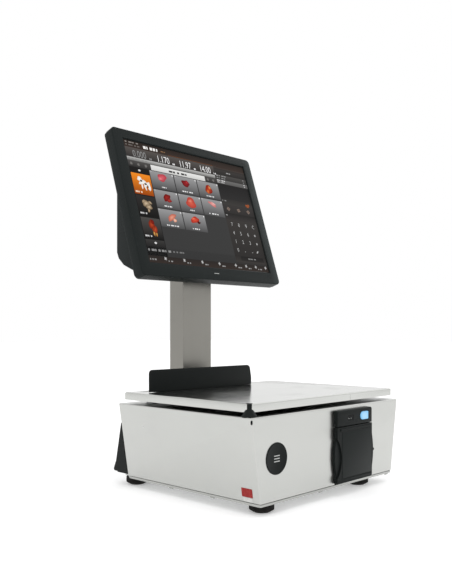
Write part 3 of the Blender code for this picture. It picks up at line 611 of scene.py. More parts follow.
def finish(name):
    """Makes each finish once, when it is first asked for."""
    if name in FINISHES:
        return FINISHES[name]
    tints = bpy.context.scene.retail_scale_tints
    steel = tuple(tints.steel)
    makers = {
        "body_steel": lambda: steel_finish("Body_steel", steel, 0.30, (0.02, 1.0, 1.0)),
        "plate_steel": lambda: steel_finish("Plate_steel", tinted(steel, 1.03), 0.17, (0.02, 1.0, 1.0), 0.03, 0.004),
        "column_steel": lambda: steel_finish("Column_steel", tuple(tints.column), 0.36, (1.0, 1.0, 0.015),
                                             0.22, 0.05),
        "trim_steel": lambda: steel_finish("Trim_steel", tinted(steel, 0.8), 0.30, (1.0, 0.05, 1.0)),
        "charcoal": lambda: moulded_finish("Charcoal_plastic", tuple(tints.charcoal)),
        # the bezel's finish carries a painted highlight along its right edge
        "bezel": lambda: moulded_finish("Bezel_plastic", tuple(tints.charcoal), right_sheen=0.6),
        "black": lambda: moulded_finish("Black_plastic", tuple(tints.black), 0.46),
        "door_black": lambda: moulded_finish("Door_plastic", tinted(tints.black, 1.3), 0.40, 1100.0, 0.2),
        "zinc": lambda: zinc_finish("Zinc_sheet"),
        "bolt": lambda: zinc_finish("Bolt_zinc", (0.42, 0.42, 0.41)),
        "aluminium": lambda: cast_finish("Cast_aluminium"),
        "brass": lambda: brass_finish("Brass"),
        "board": lambda: board_finish("Circuit_board"),
        "rubber": lambda: rubber_finish("Black_rubber"),
        "glass": lambda: glass_finish("Screen_glass"),
        "picture": lambda: picture_finish("Screen_picture", tints.screen_glow),
        "red": lambda: label_finish("Red_label", tuple(tints.label), (0.55, 0.10, 0.07)),
        "white": lambda: label_finish("White_label", (0.60, 0.60, 0.58), (0.30, 0.30, 0.30)),
        "smoke": lambda: window_finish("Smoke_window", (0.010, 0.011, 0.011), 0.05),
        "level": lambda: window_finish("Level_window", (0.42, 0.52, 0.12), 0.5),
        "mark": lambda: moulded_finish("Pale_print", (0.40, 0.41, 0.40), 0.5, 900.0, 0.02),
        "glow": lambda: glow_finish("Button_glow", tuple(tints.button),
                                    (0.0752, BUTTON_FRONT + CENTRE_Y, sum(BUTTON_Z) / 2)),
        "paper": lambda: roll_finish("Label_paper", (0.04, -0.079 + CENTRE_Y, 0.0665)),
    }
    FINISHES[name] = makers[name]()
    return FINISHES[name]


# ---------------------------------------------------------------- the body


def screw_heads(places, radius):
    """Pan heads with a cross recess that stand out to the back, modelled once and copied to their places."""
    tall, slot = 0.0014, 0.0004
    arm = 0.62 * radius
    head = drum(radius, (0.0, tall), (0, 0, 0), "Z", 24)
    round_off(head, 0.0006, 3, lambda e: lies(e, "Z", tall))
    for half_x, half_y in ((slot, arm), (arm, slot)):
        cut(head, block((-half_x, half_x), (-half_y, half_y), (tall / 2, 0.003)))
    head.rotation_euler = (-math.pi / 2, 0.0, 0.0)
    settle(head)
    copies = [twin(head, place) for place in places]
    only(head)
    bpy.ops.object.delete()
    return together(copies)


def make_shell():
    sizes = bpy.context.scene.retail_scale_sizes
    shell = block((-BODY_HALF, BODY_HALF), (BODY_FRONT, BODY_BACK), (BODY_LOW, BODY_TOP))
    low_share = side_half(BODY_LOW) / BODY_HALF
    resize_end(shell, "Z", BODY_LOW, (low_share, 1.0, 1.0), (0.0, 0.0, BODY_LOW))
    round_off(shell, sizes.fold_radius, 4,
              lambda e: runs(e, "Z") or lies(e, "Z", BODY_TOP))
    open_lid(shell, BODY_LOW)
    cut(shell, block((PRINTER_LEFT + 0.002, PRINTER_RIGHT - 0.002), (-0.17, -0.13), (0.0, 0.1330)))
    platform_hole = block((0.0340, 0.0760), (0.0080, 0.0520), (0.13, 0.15))
    round_off(platform_hole, 0.004, 3, lambda e: runs(e, "Z"))
    cut(shell, platform_hole)
    cut(shell, block((-0.030, 0.030), (0.13, 0.16), (0.034, 0.064)))
    cut(shell, drum(0.0094, (0.13, 0.15), LEVEL))
    for sx in (-1, 1):
        slot = block((-0.0014, 0.0014), (-0.0030, 0.0030), (-0.0032, 0.0032))
        round_off(slot, 0.0012, 2, lambda e: runs(e, "Y"))
        slot.rotation_euler = (0.0, 0.0, math.radians(45.0 * sx))
        slot.location = (sx * (side_half(0.1345) - 0.0008), BODY_FRONT + 0.0008, 0.1345)
        cut(shell, settle(slot))
    finish_piece(move_back(shell), "shell", "base", finish("body_steel"), ["body_shell"])


def make_base_trim():
    """Folded edge of the base tray, seen as a thin line under the shell, with its hanging clips."""
    outer_x = 0.1716
    front = -0.1464
    back = 0.1440
    trim = block((-outer_x, outer_x), (front, back), (0.0148, 0.0182))
    round_off(trim, 0.0022, 2, lambda e: runs(e, "Z"))
    cut(trim, block((-outer_x + 0.0012, outer_x - 0.0012), (front + 0.0008, back + 0.01), (0.010, 0.020)))
    clips = [trim]
    for y in (-0.0516, 0.0398):
        clips.append(block((-outer_x, -outer_x + 0.0012), (y - 0.0045, y + 0.0045), (0.0128, 0.0150)))
        clips.append(block((outer_x - 0.0012, outer_x), (y - 0.0045, y + 0.0045), (0.0128, 0.0150)))
    for x in (-0.0318, 0.1571):
        clips.append(block((x - 0.0045, x + 0.0045), (front, front + 0.0012), (0.0128, 0.0150)))
    for clip in clips[1:]:
        round_off(clip, 0.0010, 2, lambda e: lies(e, "Z", 0.0128) and not (runs(e, "X") and runs(e, "Y")))
    piece = together(clips)
    finish_piece(move_back(piece), "base_trim", "base", finish("trim_steel"), ())


def make_labels():
    lean = math.atan(BODY_LEAN / (BODY_TOP - BODY_LOW))
    for name, low, high, look, nodes, slot, y0, y1 in (
            ("side_label_red", 0.0262, 0.0392, "red", ["side_label"], "red_label", -0.1338, -0.1132),
            ("side_label_white", 0.0200, 0.0256, "white", (), "paper", -0.1330, -0.1150)):
        label = block((-0.0002, 0.0), (y0, y1), (-(high - low) / 2, (high - low) / 2))
        round_off(label, 0.0008, 2, lambda e: runs(e, "X"))
        z = (low + high) / 2
        label.rotation_euler = (0.0, -lean, 0.0)
        label.location = (-side_half(z) - 0.0001, 0.0, z)
        settle(label)
        finish_piece(move_back(label), name, "base", finish(look), nodes)


def make_badge():
    """Round badge: a dished black disc with three equal plain bars."""
    x, z, radius = -0.1376, 0.0790, 0.0230
    face = BODY_FRONT - GAP
    front = face - 0.0008
    mark = (front + 0.0001, front + 0.0004)
    disc = drum(radius, (front, face), (x, 0, z), "Y", 72)
    shape(disc, "FACE", lambda f: lies(f, "Y", front), bpy.ops.mesh.inset, thickness=0.0010)
    shape(disc, "FACE", lambda f: lies(f, "Y", front) and len(f.verts) > 8, bpy.ops.mesh.inset,
          thickness=0.0006, depth=-0.0003)
    round_off(disc, 0.0003, 2, lambda e: lies(e, "Y", front) and (
        (e.verts[0].co - Vector((x, front, z))).length > radius - 0.0001))
    finish_piece(move_back(disc), "badge", "base", finish("black"), ["badge_disc"])
    marks = []
    for level in (-0.0040, 0.0, 0.0040):
        marks.append(block((x - 0.0060, x + 0.0060), mark, (z + level - 0.0007, z + level + 0.0007)))
    piece = together(marks)
    finish_piece(move_back(piece), "badge_marks", "base", finish("mark"), ())


def make_level():
    """Bull's-eye level: a clear lens in a thin metal ring."""
    ring = drum(0.0100, (0.1411, 0.1424), LEVEL, "Z", 48)
    round_off(ring, 0.0005, 2, lambda e: lies(e, "Z", 0.1424))
    body = drum(0.0088, (0.1380, 0.1414), LEVEL, "Z", 48)
    fuse(ring, body)
    cut(ring, drum(0.0076, (0.1400, 0.16), LEVEL, "Z", 48))
    finish_piece(move_back(ring), "level_ring", "base", finish("aluminium"), ["spirit_level"])
    lens = drum(0.0075, (0.1398, 0.1422), LEVEL, "Z", 48)
    round_off(lens, 0.0012, 4, lambda e: lies(e, "Z", 0.1422))
    finish_piece(move_back(lens), "level_lens", "base", finish("level"), ())


class SCALE_OT_body(bpy.types.Operator):
    """Builds the folded steel body, its base edge, labels, badge and level."""

    bl_idname = "retail_scale.body"
    bl_label = "Body"

    def execute(self, context):
        make_shell()
        make_base_trim()
        make_labels()
        make_badge()
        make_level()
        return {"FINISHED"}


# ---------------------------------------------------------------- the platform


def make_plate():
    """Weighing plate: a shallow steel lid with one flared corner notch round a bumper and a seat for the guard."""
    sizes = bpy.context.scene.retail_scale_sizes
    half_x, half_y = PLATE_HIGH.x, PLATE_HIGH.y - CENTRE_Y
    low, top = PLATE_LOW.z, PLATE_HIGH.z
    plate = block((-half_x, half_x), (-half_y, half_y), (low, top))
    round_off(plate, sizes.plate_radius, 5, lambda e: lies(e, "Z", top))
    open_lid(plate, low)
    x, y = 0.0052 - half_x, 0.0052 - half_y
    notch = drum(0.0047, (0.10, 0.20), (x, y, 0), "Z", 32)
    fuse(notch, drum(0.0090, (low - 0.0008, low + 0.0056), (x, y, 0), "Z", 40, 0.0040))
    fuse(notch, block((-half_x - 0.02, 0.0050 - half_x), (-half_y - 0.02, 0.0050 - half_y), (0.1, 0.2)))
    cut(plate, notch)
    guard_front = GUARD_LOW.y - CENTRE_Y
    cut(plate, block((GUARD_LOW.x - 0.0005, GUARD_HIGH.x + 0.0005), (guard_front - 0.0005, guard_front + 0.0245),
                     (top - GUARD_SEAT, top + 0.01)))
    cut(plate, block((0.0597, 0.0602), (-half_y - 0.002, -half_y + 0.0004), (0.1, top - 0.0024)))
    finish_piece(move_back(plate), "plate", "plate", finish("plate_steel"), ["weigh_plate"])
    bumper = drum(0.0118, (BODY_TOP + 0.0002, low + 0.0052), (x, y, 0), "Z", 40, 0.0036)
    fuse(bumper, drum(0.0036, (low + 0.0040, top - 0.0004), (x, y, 0), "Z", 32))
    round_off(bumper, 0.0020, 4, lambda e: lies(e, "Z", top - 0.0004))
    finish_piece(move_back(bumper), "corner_bumper", "base", finish("black"), ())


def make_guard():
    """Upright guard behind the goods: a thin folded sheet with rounded upper corners and stiffening webs."""
    sizes = bpy.context.scene.retail_scale_sizes
    x0, x1 = GUARD_LOW.x, GUARD_HIGH.x
    y0 = GUARD_LOW.y - CENTRE_Y
    low, top = GUARD_LOW.z, GUARD_HIGH.z
    guard = block((x0, x1), (y0, y0 + 0.0020), (low + 0.0006, top))
    slice_off(guard, (x1, y0, low + 0.014), Vector((1.0, 0.0, 0.20)).normalized())
    round_off(guard, 0.0065, 6, lambda e: runs(e, "Y") and middle(e, "Z") > top - 0.001 and middle(e, "X") < 0)
    round_off(guard, sizes.guard_corner, 6,
              lambda e: runs(e, "Y") and middle(e, "Z") > top - 0.001 and middle(e, "X") > 0)
    round_off(guard, 0.0006, 2, lambda e: not runs(e, "Y") and (lies(e, "Y", y0) or lies(e, "Y", y0 + 0.0020)))
    foot = block((x0 + 0.026, x1 - 0.002), (y0 + 0.0010, y0 + 0.0240), (low, low + 0.0018))
    round_off(foot, 0.004, 4, lambda e: runs(e, "Z") and middle(e, "Y") > y0 + 0.02)
    fuse(guard, foot)
    for i in range(4):
        x = x0 + 0.030 + i * 0.060
        web = wedge([(y0 + 0.0012, low + 0.001), (y0 + 0.0200, low + 0.001), (y0 + 0.0012, low + 0.0240)],
                    (x - 0.001, x + 0.001))
        fuse(guard, web)
    finish_piece(move_back(guard), "guard", "plate", finish("black"), ["backstop"])


class SCALE_OT_platform(bpy.types.Operator):
    """Builds the weighing plate, its corner bumper and the guard that stands on it."""

    bl_idname = "retail_scale.platform"
    bl_label = "Platform"

    def execute(self, context):
        make_plate()
        make_guard()
        return {"FINISHED"}


# ---------------------------------------------------------------- the label printer


def make_fascia():
    left, right, front = PRINTER_LEFT, PRINTER_RIGHT, PRINTER_FRONT
    bottom = PRINTER_SLOT + 0.0008
    fascia = block((left, right), (front, BODY_FRONT - GAP), (bottom, PRINTER_TOP))
    round_off(fascia, 0.0034, 5, lambda e: runs(e, "Y") and middle(e, "Z") > PRINTER_TOP - 0.001)
    round_off(fascia, 0.0014, 3, lambda e: lies(e, "Y", front))
    fuse(fascia, block((left + 0.0025, right - 0.0025), (-0.1500, -0.1330), (bottom + 0.0007, 0.1325)))
    hole = block((BUTTON_X[0] - BUTTON_GAP, BUTTON_X[1] + BUTTON_GAP), (-0.17, -0.1440),
                 (BUTTON_Z[0] - BUTTON_GAP, BUTTON_Z[1] + BUTTON_GAP))
    round_off(hole, 0.0066, 8, lambda e: runs(e, "Y") and middle(e, "X") < 0.07)
    round_off(hole, 0.0016, 3, lambda e: runs(e, "Y") and middle(e, "X") > 0.08)
    cut(fascia, hole)
    window = block((0.0298, 0.0462), (-0.17, -0.1500), (0.1178, 0.1262))
    round_off(window, 0.0010, 3, lambda e: runs(e, "Y"))
    cut(fascia, window)
    finish_piece(move_back(fascia), "fascia", "base", finish("black"), ["printer_fascia"])

    pane = block((0.0301, 0.0459), (-0.1540, -0.1503), (0.1181, 0.1259))
    round_off(pane, 0.0008, 3, lambda e: runs(e, "Y"))
    finish_piece(move_back(pane), "lamp_window", "base", finish("smoke"), ["led_window"])
    lamps = []
    for x in (0.0325, 0.0385):
        lamp = drum(0.0007, (-0.1544, -0.1539), (x, 0, 0.1212), "Y", 20)
        round_off(lamp, 0.0002, 2, lambda e: lies(e, "Y", -0.1544))
        lamps.append(lamp)
    finish_piece(move_back(together(lamps)), "lamps", "base", finish("mark"), ())


def make_button():
    button = block(BUTTON_X, (BUTTON_FRONT, -0.1460), BUTTON_Z)
    round_off(button, 0.0061, 8, lambda e: runs(e, "Y") and middle(e, "X") < 0.07)
    round_off(button, 0.0012, 3, lambda e: runs(e, "Y") and middle(e, "X") > 0.08)
    round_off(button, 0.0008, 3, lambda e: lies(e, "Y", BUTTON_FRONT))
    finish_piece(move_back(button), "button", "button", finish("glow"), ["print_button"])


def make_door():
    """Cassette door: a deep panel with bulging finger grips, a scooped side and a tear lip."""
    left, right, front = PRINTER_LEFT, PRINTER_RIGHT, PRINTER_FRONT
    top = PRINTER_SLOT - 0.0002
    back = BODY_FRONT - GAP
    door = block((left, right), (front, back), (PRINTER_BOTTOM, top))
    bulge = ((0.006, 0.0035), (0.014, 0.0026), (0.022, 0.0012), (0.033, -0.0014))
    for side, sx in ((left, -1), (right, 1)):
        grip = block(sorted((side - sx * 0.0015, side + sx * 0.0035)), (front, back), GRIP_Z)
        for (rise, out), (rise_next, out_next) in zip(bulge, bulge[1:]):
            for sz in (-1, 1):
                normal = Vector((sx * (rise_next - rise), 0.0, sz * (out - out_next))).normalized()
                slice_off(grip, (side + sx * out, 0.0, LATCH_Z + sz * rise), normal)
        fuse(door, grip)
    round_off(door, 0.0034, 5, lambda e: runs(e, "Y") and middle(e, "Z") < PRINTER_BOTTOM + 0.001)
    round_off(door, 0.0014, 3, lambda e: lies(e, "Y", front) and not lies(e, "Z", top))
    scoop = drum(0.0480, (front - 0.002, front + 0.0026), (left + 0.0115 - 0.0480, 0, 0.0600), "Y", 96)
    cut(door, scoop)
    groove = block((left + 0.0090, right - 0.0010), (front - 0.002, front + 0.0009), (0.0270, 0.0278))
    cut(door, groove)
    root, tip = front + 0.001, front - 0.0012
    lip = wedge([(root, 0.1016), (root, 0.1072), (tip, 0.1062), (tip, 0.1038)], (left + 0.0080, right - 0.0030))
    fuse(door, lip)
    finish_piece(move_back(door), "door", "cassette", finish("black"), ["cassette_door"])

    panel = block((left + 0.0125, right - 0.0022), (front - 0.0005, front + 0.0010), (0.0288, 0.1008))
    round_off(panel, 0.0012, 3, lambda e: runs(e, "Y"))
    round_off(panel, 0.0004, 2, lambda e: lies(e, "Y", front - 0.0005))
    finish_piece(move_back(panel), "door_panel", "cassette", finish("door_black"), ())


def make_latch():
    """Small latch at the door's right edge: a round hub with a lever and a dimple."""
    x = PRINTER_RIGHT + 0.0040
    y, z = LATCH_Y, LATCH_Z
    hub = drum(0.0028, (x, x + 0.0035), (0, y, z), "X", 32)
    round_off(hub, 0.0006, 3, lambda e: lies(e, "X", x + 0.0035))
    lever = block((x + 0.0002, x + 0.0020), (y - 0.0016, y + 0.0016), (z, z + 0.0080))
    round_off(lever, 0.0014, 4, lambda e: runs(e, "X") and middle(e, "Z") > z + 0.004)
    fuse(hub, lever)
    cut(hub, drum(0.0011, (x + 0.0028, x + 0.01), (0, y, z), "X", 20))
    finish_piece(move_back(hub), "latch", "latch", finish("black"), ["latch_knob"])


class SCALE_OT_printer(bpy.types.Operator):
    """Builds the label printer's fascia, button, door and latch."""

    bl_idname = "retail_scale.printer"
    bl_label = "Printer"

    def execute(self, context):
        make_fascia()
        make_button()
        make_door()
        make_latch()
        return {"FINISHED"}


# ---------------------------------------------------------------- the column


class SCALE_OT_column(bpy.types.Operator):
    """Builds the square steel column with its folded corners and rear seam."""

    bl_idname = "retail_scale.column"
    bl_label = "Column"

    def execute(self, context):
        half = POST_HIGH.x
        y0, y1 = POST_LOW.y - CENTRE_Y, POST_HIGH.y - CENTRE_Y
        z0, z1 = POST_LOW.z, POST_HIGH.z
        wall = 0.0020
        post = block((-half, half), (y0, y1), (z0, z1))
        round_off(post, 0.0026, 6, lambda e: runs(e, "Z"))
        bore = block((-half + wall, half - wall), (y0 + wall, y1 - wall), (z0 - 0.01, z1 + 0.01))
        round_off(bore, 0.0008, 2, lambda e: runs(e, "Z"))
        cut(post, bore)
        cut(post, block((-0.0003, 0.0003), (y1 - 0.0005, y1 + 0.002), (z0 + 0.01, z1 - 0.004)))
        finish_piece(move_back(post), "column", "base", finish("column_steel"), ["post"])
        return {"FINISHED"}


# ---------------------------------------------------------------- the monitor


def make_bezel():
    """Front frame: rounded corners, soft outer edge and a chamfer down to the glass."""
    sizes = bpy.context.scene.retail_scale_sizes
    bezel = block((-BEZEL_SIDE, BEZEL_SIDE), (BEZEL_FRONT, BEZEL_BACK), (BEZEL_BOTTOM, BEZEL_TOP))
    round_off(bezel, sizes.bezel_corner, 8, lambda e: runs(e, "Y"))
    round_off(bezel, sizes.bezel_edge, 4, lambda e: lies(e, "Y", BEZEL_FRONT))
    wall = 0.0025
    room = block((-BEZEL_SIDE + wall, BEZEL_SIDE - wall), (-GAP, 0.03), (BEZEL_BOTTOM + wall, BEZEL_TOP - wall))
    round_off(room, 0.006, 4, lambda e: runs(e, "Y"))
    cut(bezel, room)
    x, u = SCREEN_WIDTH / 2, SCREEN_HEIGHT / 2
    opening = block((-x, x), (BEZEL_FRONT - 0.0005, 0.002), (-u, u))
    flare = 0.0022
    resize_end(opening, "Y", BEZEL_FRONT - 0.0005, ((x + flare) / x, 1.0, (u + flare) / u),
               (0.0, BEZEL_FRONT - 0.0005, 0.0))
    cut(bezel, opening)
    finish_piece(lean_back(bezel), "bezel", "monitor", finish("bezel"), ["monitor_bezel"])

    bar = block((-0.0060, 0.0060), (BEZEL_FRONT - 0.0002, BEZEL_FRONT + 0.0002), (-0.1271, -0.1259))
    finish_piece(lean_back(bar), "bezel_mark", "monitor", finish("mark"), ())


def make_glass():
    glass = block((-0.1590, 0.1590), (0.0, 0.0030), (-0.1210, 0.1210))
    round_off(glass, 0.0015, 3, lambda e: runs(e, "Y"))
    round_off(glass, 0.0004, 2, lambda e: lies(e, "Y", 0.0))
    finish_piece(lean_back(glass), "glass", "monitor", finish("glass"), ["touch_glass"])


def make_housing():
    """Rear moulding: a flange that meets the frame and a deep wedge with vents and a pocket for the column."""
    x = BEZEL_SIDE - 0.0006
    low = BEZEL_BACK + GAP
    back = 0.0195
    housing = block((-x, x), (low, back), (BEZEL_BOTTOM + 0.0006, BEZEL_TOP - 0.0006))
    round_off(housing, 0.0082, 8, lambda e: runs(e, "Y"))
    round_off(housing, 0.0008, 3, lambda e: lies(e, "Y", back))
    half = 0.1500
    outline = [(0.0160, -0.1200), (0.0300, -0.1175), (0.0510, -0.1080), (0.0700, -0.0915), (0.0790, -0.0760),
               (0.0803, -0.0640), (0.0300, 0.0890), (0.0160, 0.1020)]
    bulge = wedge(outline, (-half, half))
    round_off(bulge, 0.0020, 4, lambda e: (lies(e, "X", half) or lies(e, "X", -half)) and max(
        v.co.y for v in e.verts) > 0.0165)
    fuse(housing, bulge)
    inner = [(0.0100, -0.1170), (0.0290, -0.1148), (0.0500, -0.1052), (0.0680, -0.0895), (0.0765, -0.0750),
             (0.0775, -0.0640), (0.0280, 0.0880), (0.0180, 0.0990), (0.0100, 0.0990)]
    room = lean_back(wedge(inner, (-half + 0.0035, half - 0.0035)))
    core = move_back(block((-0.0450, 0.0450), (0.1500, 0.26), (0.30, 0.4630)))
    cut(room, core)
    shallow = block((-x + 0.0025, x - 0.0025), (0.0, 0.0172), (BEZEL_BOTTOM + 0.0031, BEZEL_TOP - 0.0031))
    round_off(shallow, 0.005, 3, lambda e: runs(e, "Y"))
    lean_back(housing)
    cut(housing, room)
    cut(housing, move_back(block((-0.0425, 0.0425), (0.1440, 0.26), (0.30, 0.4605))))
    cut(housing, lean_back(shallow))
    slots = []
    for start in (-0.105, 0.066):
        for i in range(7):
            xs = start + 0.006 * i
            slot = block((xs, xs + 0.003), (0.030, 0.100), (-0.010, 0.040))
            round_off(slot, 0.0014, 3, lambda e: runs(e, "Y"))
            slots.append(slot)
    cut(housing, lean_back(together(slots)))
    finish_piece(housing, "housing", "monitor", finish("charcoal"), ["monitor_housing"])
    heads = screw_heads([(sx * 0.1625, back - 0.0001, u) for sx in (-1, 1) for u in (-0.127, 0.0, 0.122)], 0.0028)
    finish_piece(lean_back(heads), "housing_screws", "monitor", finish("bolt"), ())


class SCALE_OT_monitor(bpy.types.Operator):
    """Builds the monitor's front frame, glass and rear moulding."""

    bl_idname = "retail_scale.monitor"
    bl_label = "Monitor"

    def execute(self, context):
        make_bezel()
        make_glass()
        make_housing()
        return {"FINISHED"}


# ---------------------------------------------------------------- the lit picture

GRID = (1220.0, 915.0)
LAYER = 0.00004


def hexed(code):
    """Linear colour from a two-digit-per-part hex colour."""
    parts = [int(code[i:i + 2], 16) / 255.0 for i in (0, 2, 4)]
    return tuple(p / 12.92 if p <= 0.04045 else ((p + 0.055) / 1.055) ** 2.4 for p in parts)


class Picture:
    """Collects the flat pieces of the lit picture; places are in a grid from its upper left corner."""

    def __init__(self):
        self.parts = []

    def spot(self, gx, gy, layer):
        return ((gx / GRID[0] - 0.5) * SCREEN_WIDTH, -0.00012 - layer * LAYER, (0.5 - gy / GRID[1]) * SCREEN_HEIGHT)

    def paint(self, obj, shade):
        colours = obj.data.color_attributes.new("Picture", "FLOAT_COLOR", "CORNER")
        for loop in obj.data.loops:
            colours.data[loop.index].color = (*shade(obj.data.vertices[loop.vertex_index].co), 1.0)
        self.parts.append(obj)

    def tile(self, x0, y0, x1, y1, top, bottom=None, layer=1):
        unselect()
        bpy.ops.mesh.primitive_plane_add(size=1.0, location=self.spot((x0 + x1) / 2, (y0 + y1) / 2, layer),
                                         rotation=(math.pi / 2, 0.0, 0.0))
        obj = bpy.context.object
        obj.scale = ((x1 - x0) / GRID[0] * SCREEN_WIDTH, (y1 - y0) / GRID[1] * SCREEN_HEIGHT, 1.0)
        upper, lower = hexed(top), hexed(bottom or top)
        self.paint(obj, lambda co: upper if co.y > 0 else lower)

    def blob(self, x, y, rx, ry, inner, outer, layer=3, turn=0.0, lobes=3, wave=0.10):
        """A soft round shape, paler in the middle, with a wavy edge."""
        unselect()
        bpy.ops.mesh.primitive_circle_add(vertices=28, radius=1.0, fill_type="TRIFAN",
                                          location=self.spot(x, y, layer),
                                          rotation=(math.pi / 2, -math.radians(turn), 0.0))
        obj = bpy.context.object
        for v in obj.data.vertices:
            if v.co.length > 0.5:
                angle = math.atan2(v.co.y, v.co.x)
                v.co *= 1.0 + wave * math.sin(lobes * angle + x) + 0.5 * wave * math.sin((lobes + 2) * angle + y)
        obj.scale = (rx / GRID[0] * SCREEN_WIDTH, ry / GRID[1] * SCREEN_HEIGHT, 1.0)
        middle_tint, edge_tint = hexed(inner), hexed(outer)
        self.paint(obj, lambda co: middle_tint if co.length < 0.5 else edge_tint)

    def digits(self, text, x, y, tall, tint, layer=4, wide=1.0):
        """Figures with their lower left corner at a place and a given height in grid steps."""
        unselect()
        bpy.ops.object.text_add(location=self.spot(x, y, layer), rotation=(math.pi / 2, 0.0, 0.0))
        obj = bpy.context.object
        obj.data.body = text
        obj.data.size = tall / 0.70 / GRID[1] * SCREEN_HEIGHT
        obj.data.resolution_u = 3
        obj.scale = (wide, 1.0, 1.0)
        only(obj)
        bpy.ops.object.convert(target="MESH")
        obj = bpy.context.object
        ink = hexed(tint)
        self.paint(obj, lambda co: ink)

    def words(self, x, y, wide, tall, tint, layer=4, count=3):
        """Plain bars where a line of writing would be."""
        step = wide / count
        for i in range(count):
            share = 0.62 + 0.26 * math.sin(2.3 * i + x)
            self.tile(x + i * step, y, x + i * step + step * share, y + tall, tint, layer=layer)

    def done(self):
        piece = together(self.parts)
        settle(piece)
        return piece


def draw_header(art):
    art.tile(0, 0, 1220, 52, "2b2420", "3a2f2a")
    art.tile(0, 52, 865, 128, "55504d", "33302f")
    art.tile(865, 45, 1220, 70, "4a413c", "2d2a29")
    art.words(12, 8, 130, 9, "8d8782", 3, 4)
    art.words(12, 30, 130, 9, "6f6a66", 3, 5)
    art.words(172, 18, 150, 22, "f4f2ef", 3, 5)
    art.words(335, 26, 60, 8, "8c6a4a", 3, 2)
    art.tile(400, 46, 860, 49, "8a4f24", "5a3a22", 2)
    for text, x, tint, wide in (("0.000", 60, "8f8f8f", 0.74), ("1.170", 280, "f2f2f2", 0.74),
                                ("11.97", 495, "f2f2f2", 0.74), ("14.00", 705, "f2f2f2", 0.74)):
        art.digits(text, x, 121, 52, tint, 4, wide)
        art.words(x + 148, 108, 26, 13, tint, 4, 2)
    art.tile(0, 128, 862, 156, "b9b9b7", "6e6d6c")
    art.words(10, 137, 180, 8, "8c8c8b", 2, 6)
    art.tile(0, 158, 862, 204, "4d4b4a", "2f2e2e")
    for x in (28, 92, 158, 770, 828):
        art.blob(x, 180, 12, 12, "7c7a78", "5f5d5b", 3)
    art.tile(204, 160, 738, 202, "e6e6e4", "cfcfcd", 2)
    art.words(372, 175, 200, 15, "3b3b3b", 3, 5)


def draw_menu(art):
    art.tile(0, 204, 178, 865, "1c1b1b", "121212")
    art.blob(88, 226, 11, 8, "e8e8e8", "cfcfcf", 3, 0, 3, 0.0)
    art.tile(5, 252, 174, 412, "f08a22", "9a4208", 2)
    for x, y, rx, ry, turn in ((72, 292, 20, 18, 0), (92, 316, 34, 15, 20), (122, 330, 30, 12, 40),
                               (148, 342, 12, 34, 0), (84, 344, 7, 26, 0), (112, 352, 7, 24, 10)):
        art.blob(x, y, rx, ry, "fbfaf6", "e0ded8", 3, turn)
    for x, y, rx, ry in ((84, 306, 10, 8), (118, 326, 12, 7), (134, 344, 6, 10)):
        art.blob(x, y, rx, ry, "2a2420", "3d332c", 4)
    art.words(14, 388, 70, 12, "f0d9c2", 4, 3)
    art.tile(5, 420, 174, 572, "2f2d2c", "151414", 2)
    for x, y, rx, ry, turn in ((84, 478, 34, 24, 10), (104, 500, 28, 22, 0), (66, 462, 20, 10, 30),
                               (122, 466, 18, 9, -30), (96, 528, 10, 16, 0)):
        art.blob(x, y, rx, ry, "cdb89a", "6d5b45", 3, turn)
    art.words(14, 548, 70, 12, "c9c9c9", 4, 3)
    art.tile(5, 585, 174, 742, "4b4947", "161515", 2)
    for x, y, rx, ry, inner, outer, turn in ((92, 636, 26, 36, "b8431f", "6d1f12", 10),
                                             (112, 668, 24, 26, "c6532a", "7a2414", 0),
                                             (104, 614, 14, 16, "8e1d16", "5a0f0e", 0),
                                             (100, 700, 8, 18, "d9a75c", "a8702e", 0),
                                             (120, 704, 7, 16, "d9a75c", "a8702e", 0)):
        art.blob(x, y, rx, ry, inner, outer, 3, turn)
    art.words(14, 716, 70, 12, "c9c9c9", 4, 3)
    art.tile(5, 748, 174, 800, "383736", "232222", 2)
    art.blob(92, 770, 11, 8, "e8e8e8", "cfcfcf", 3, 0, 3, 0.0)


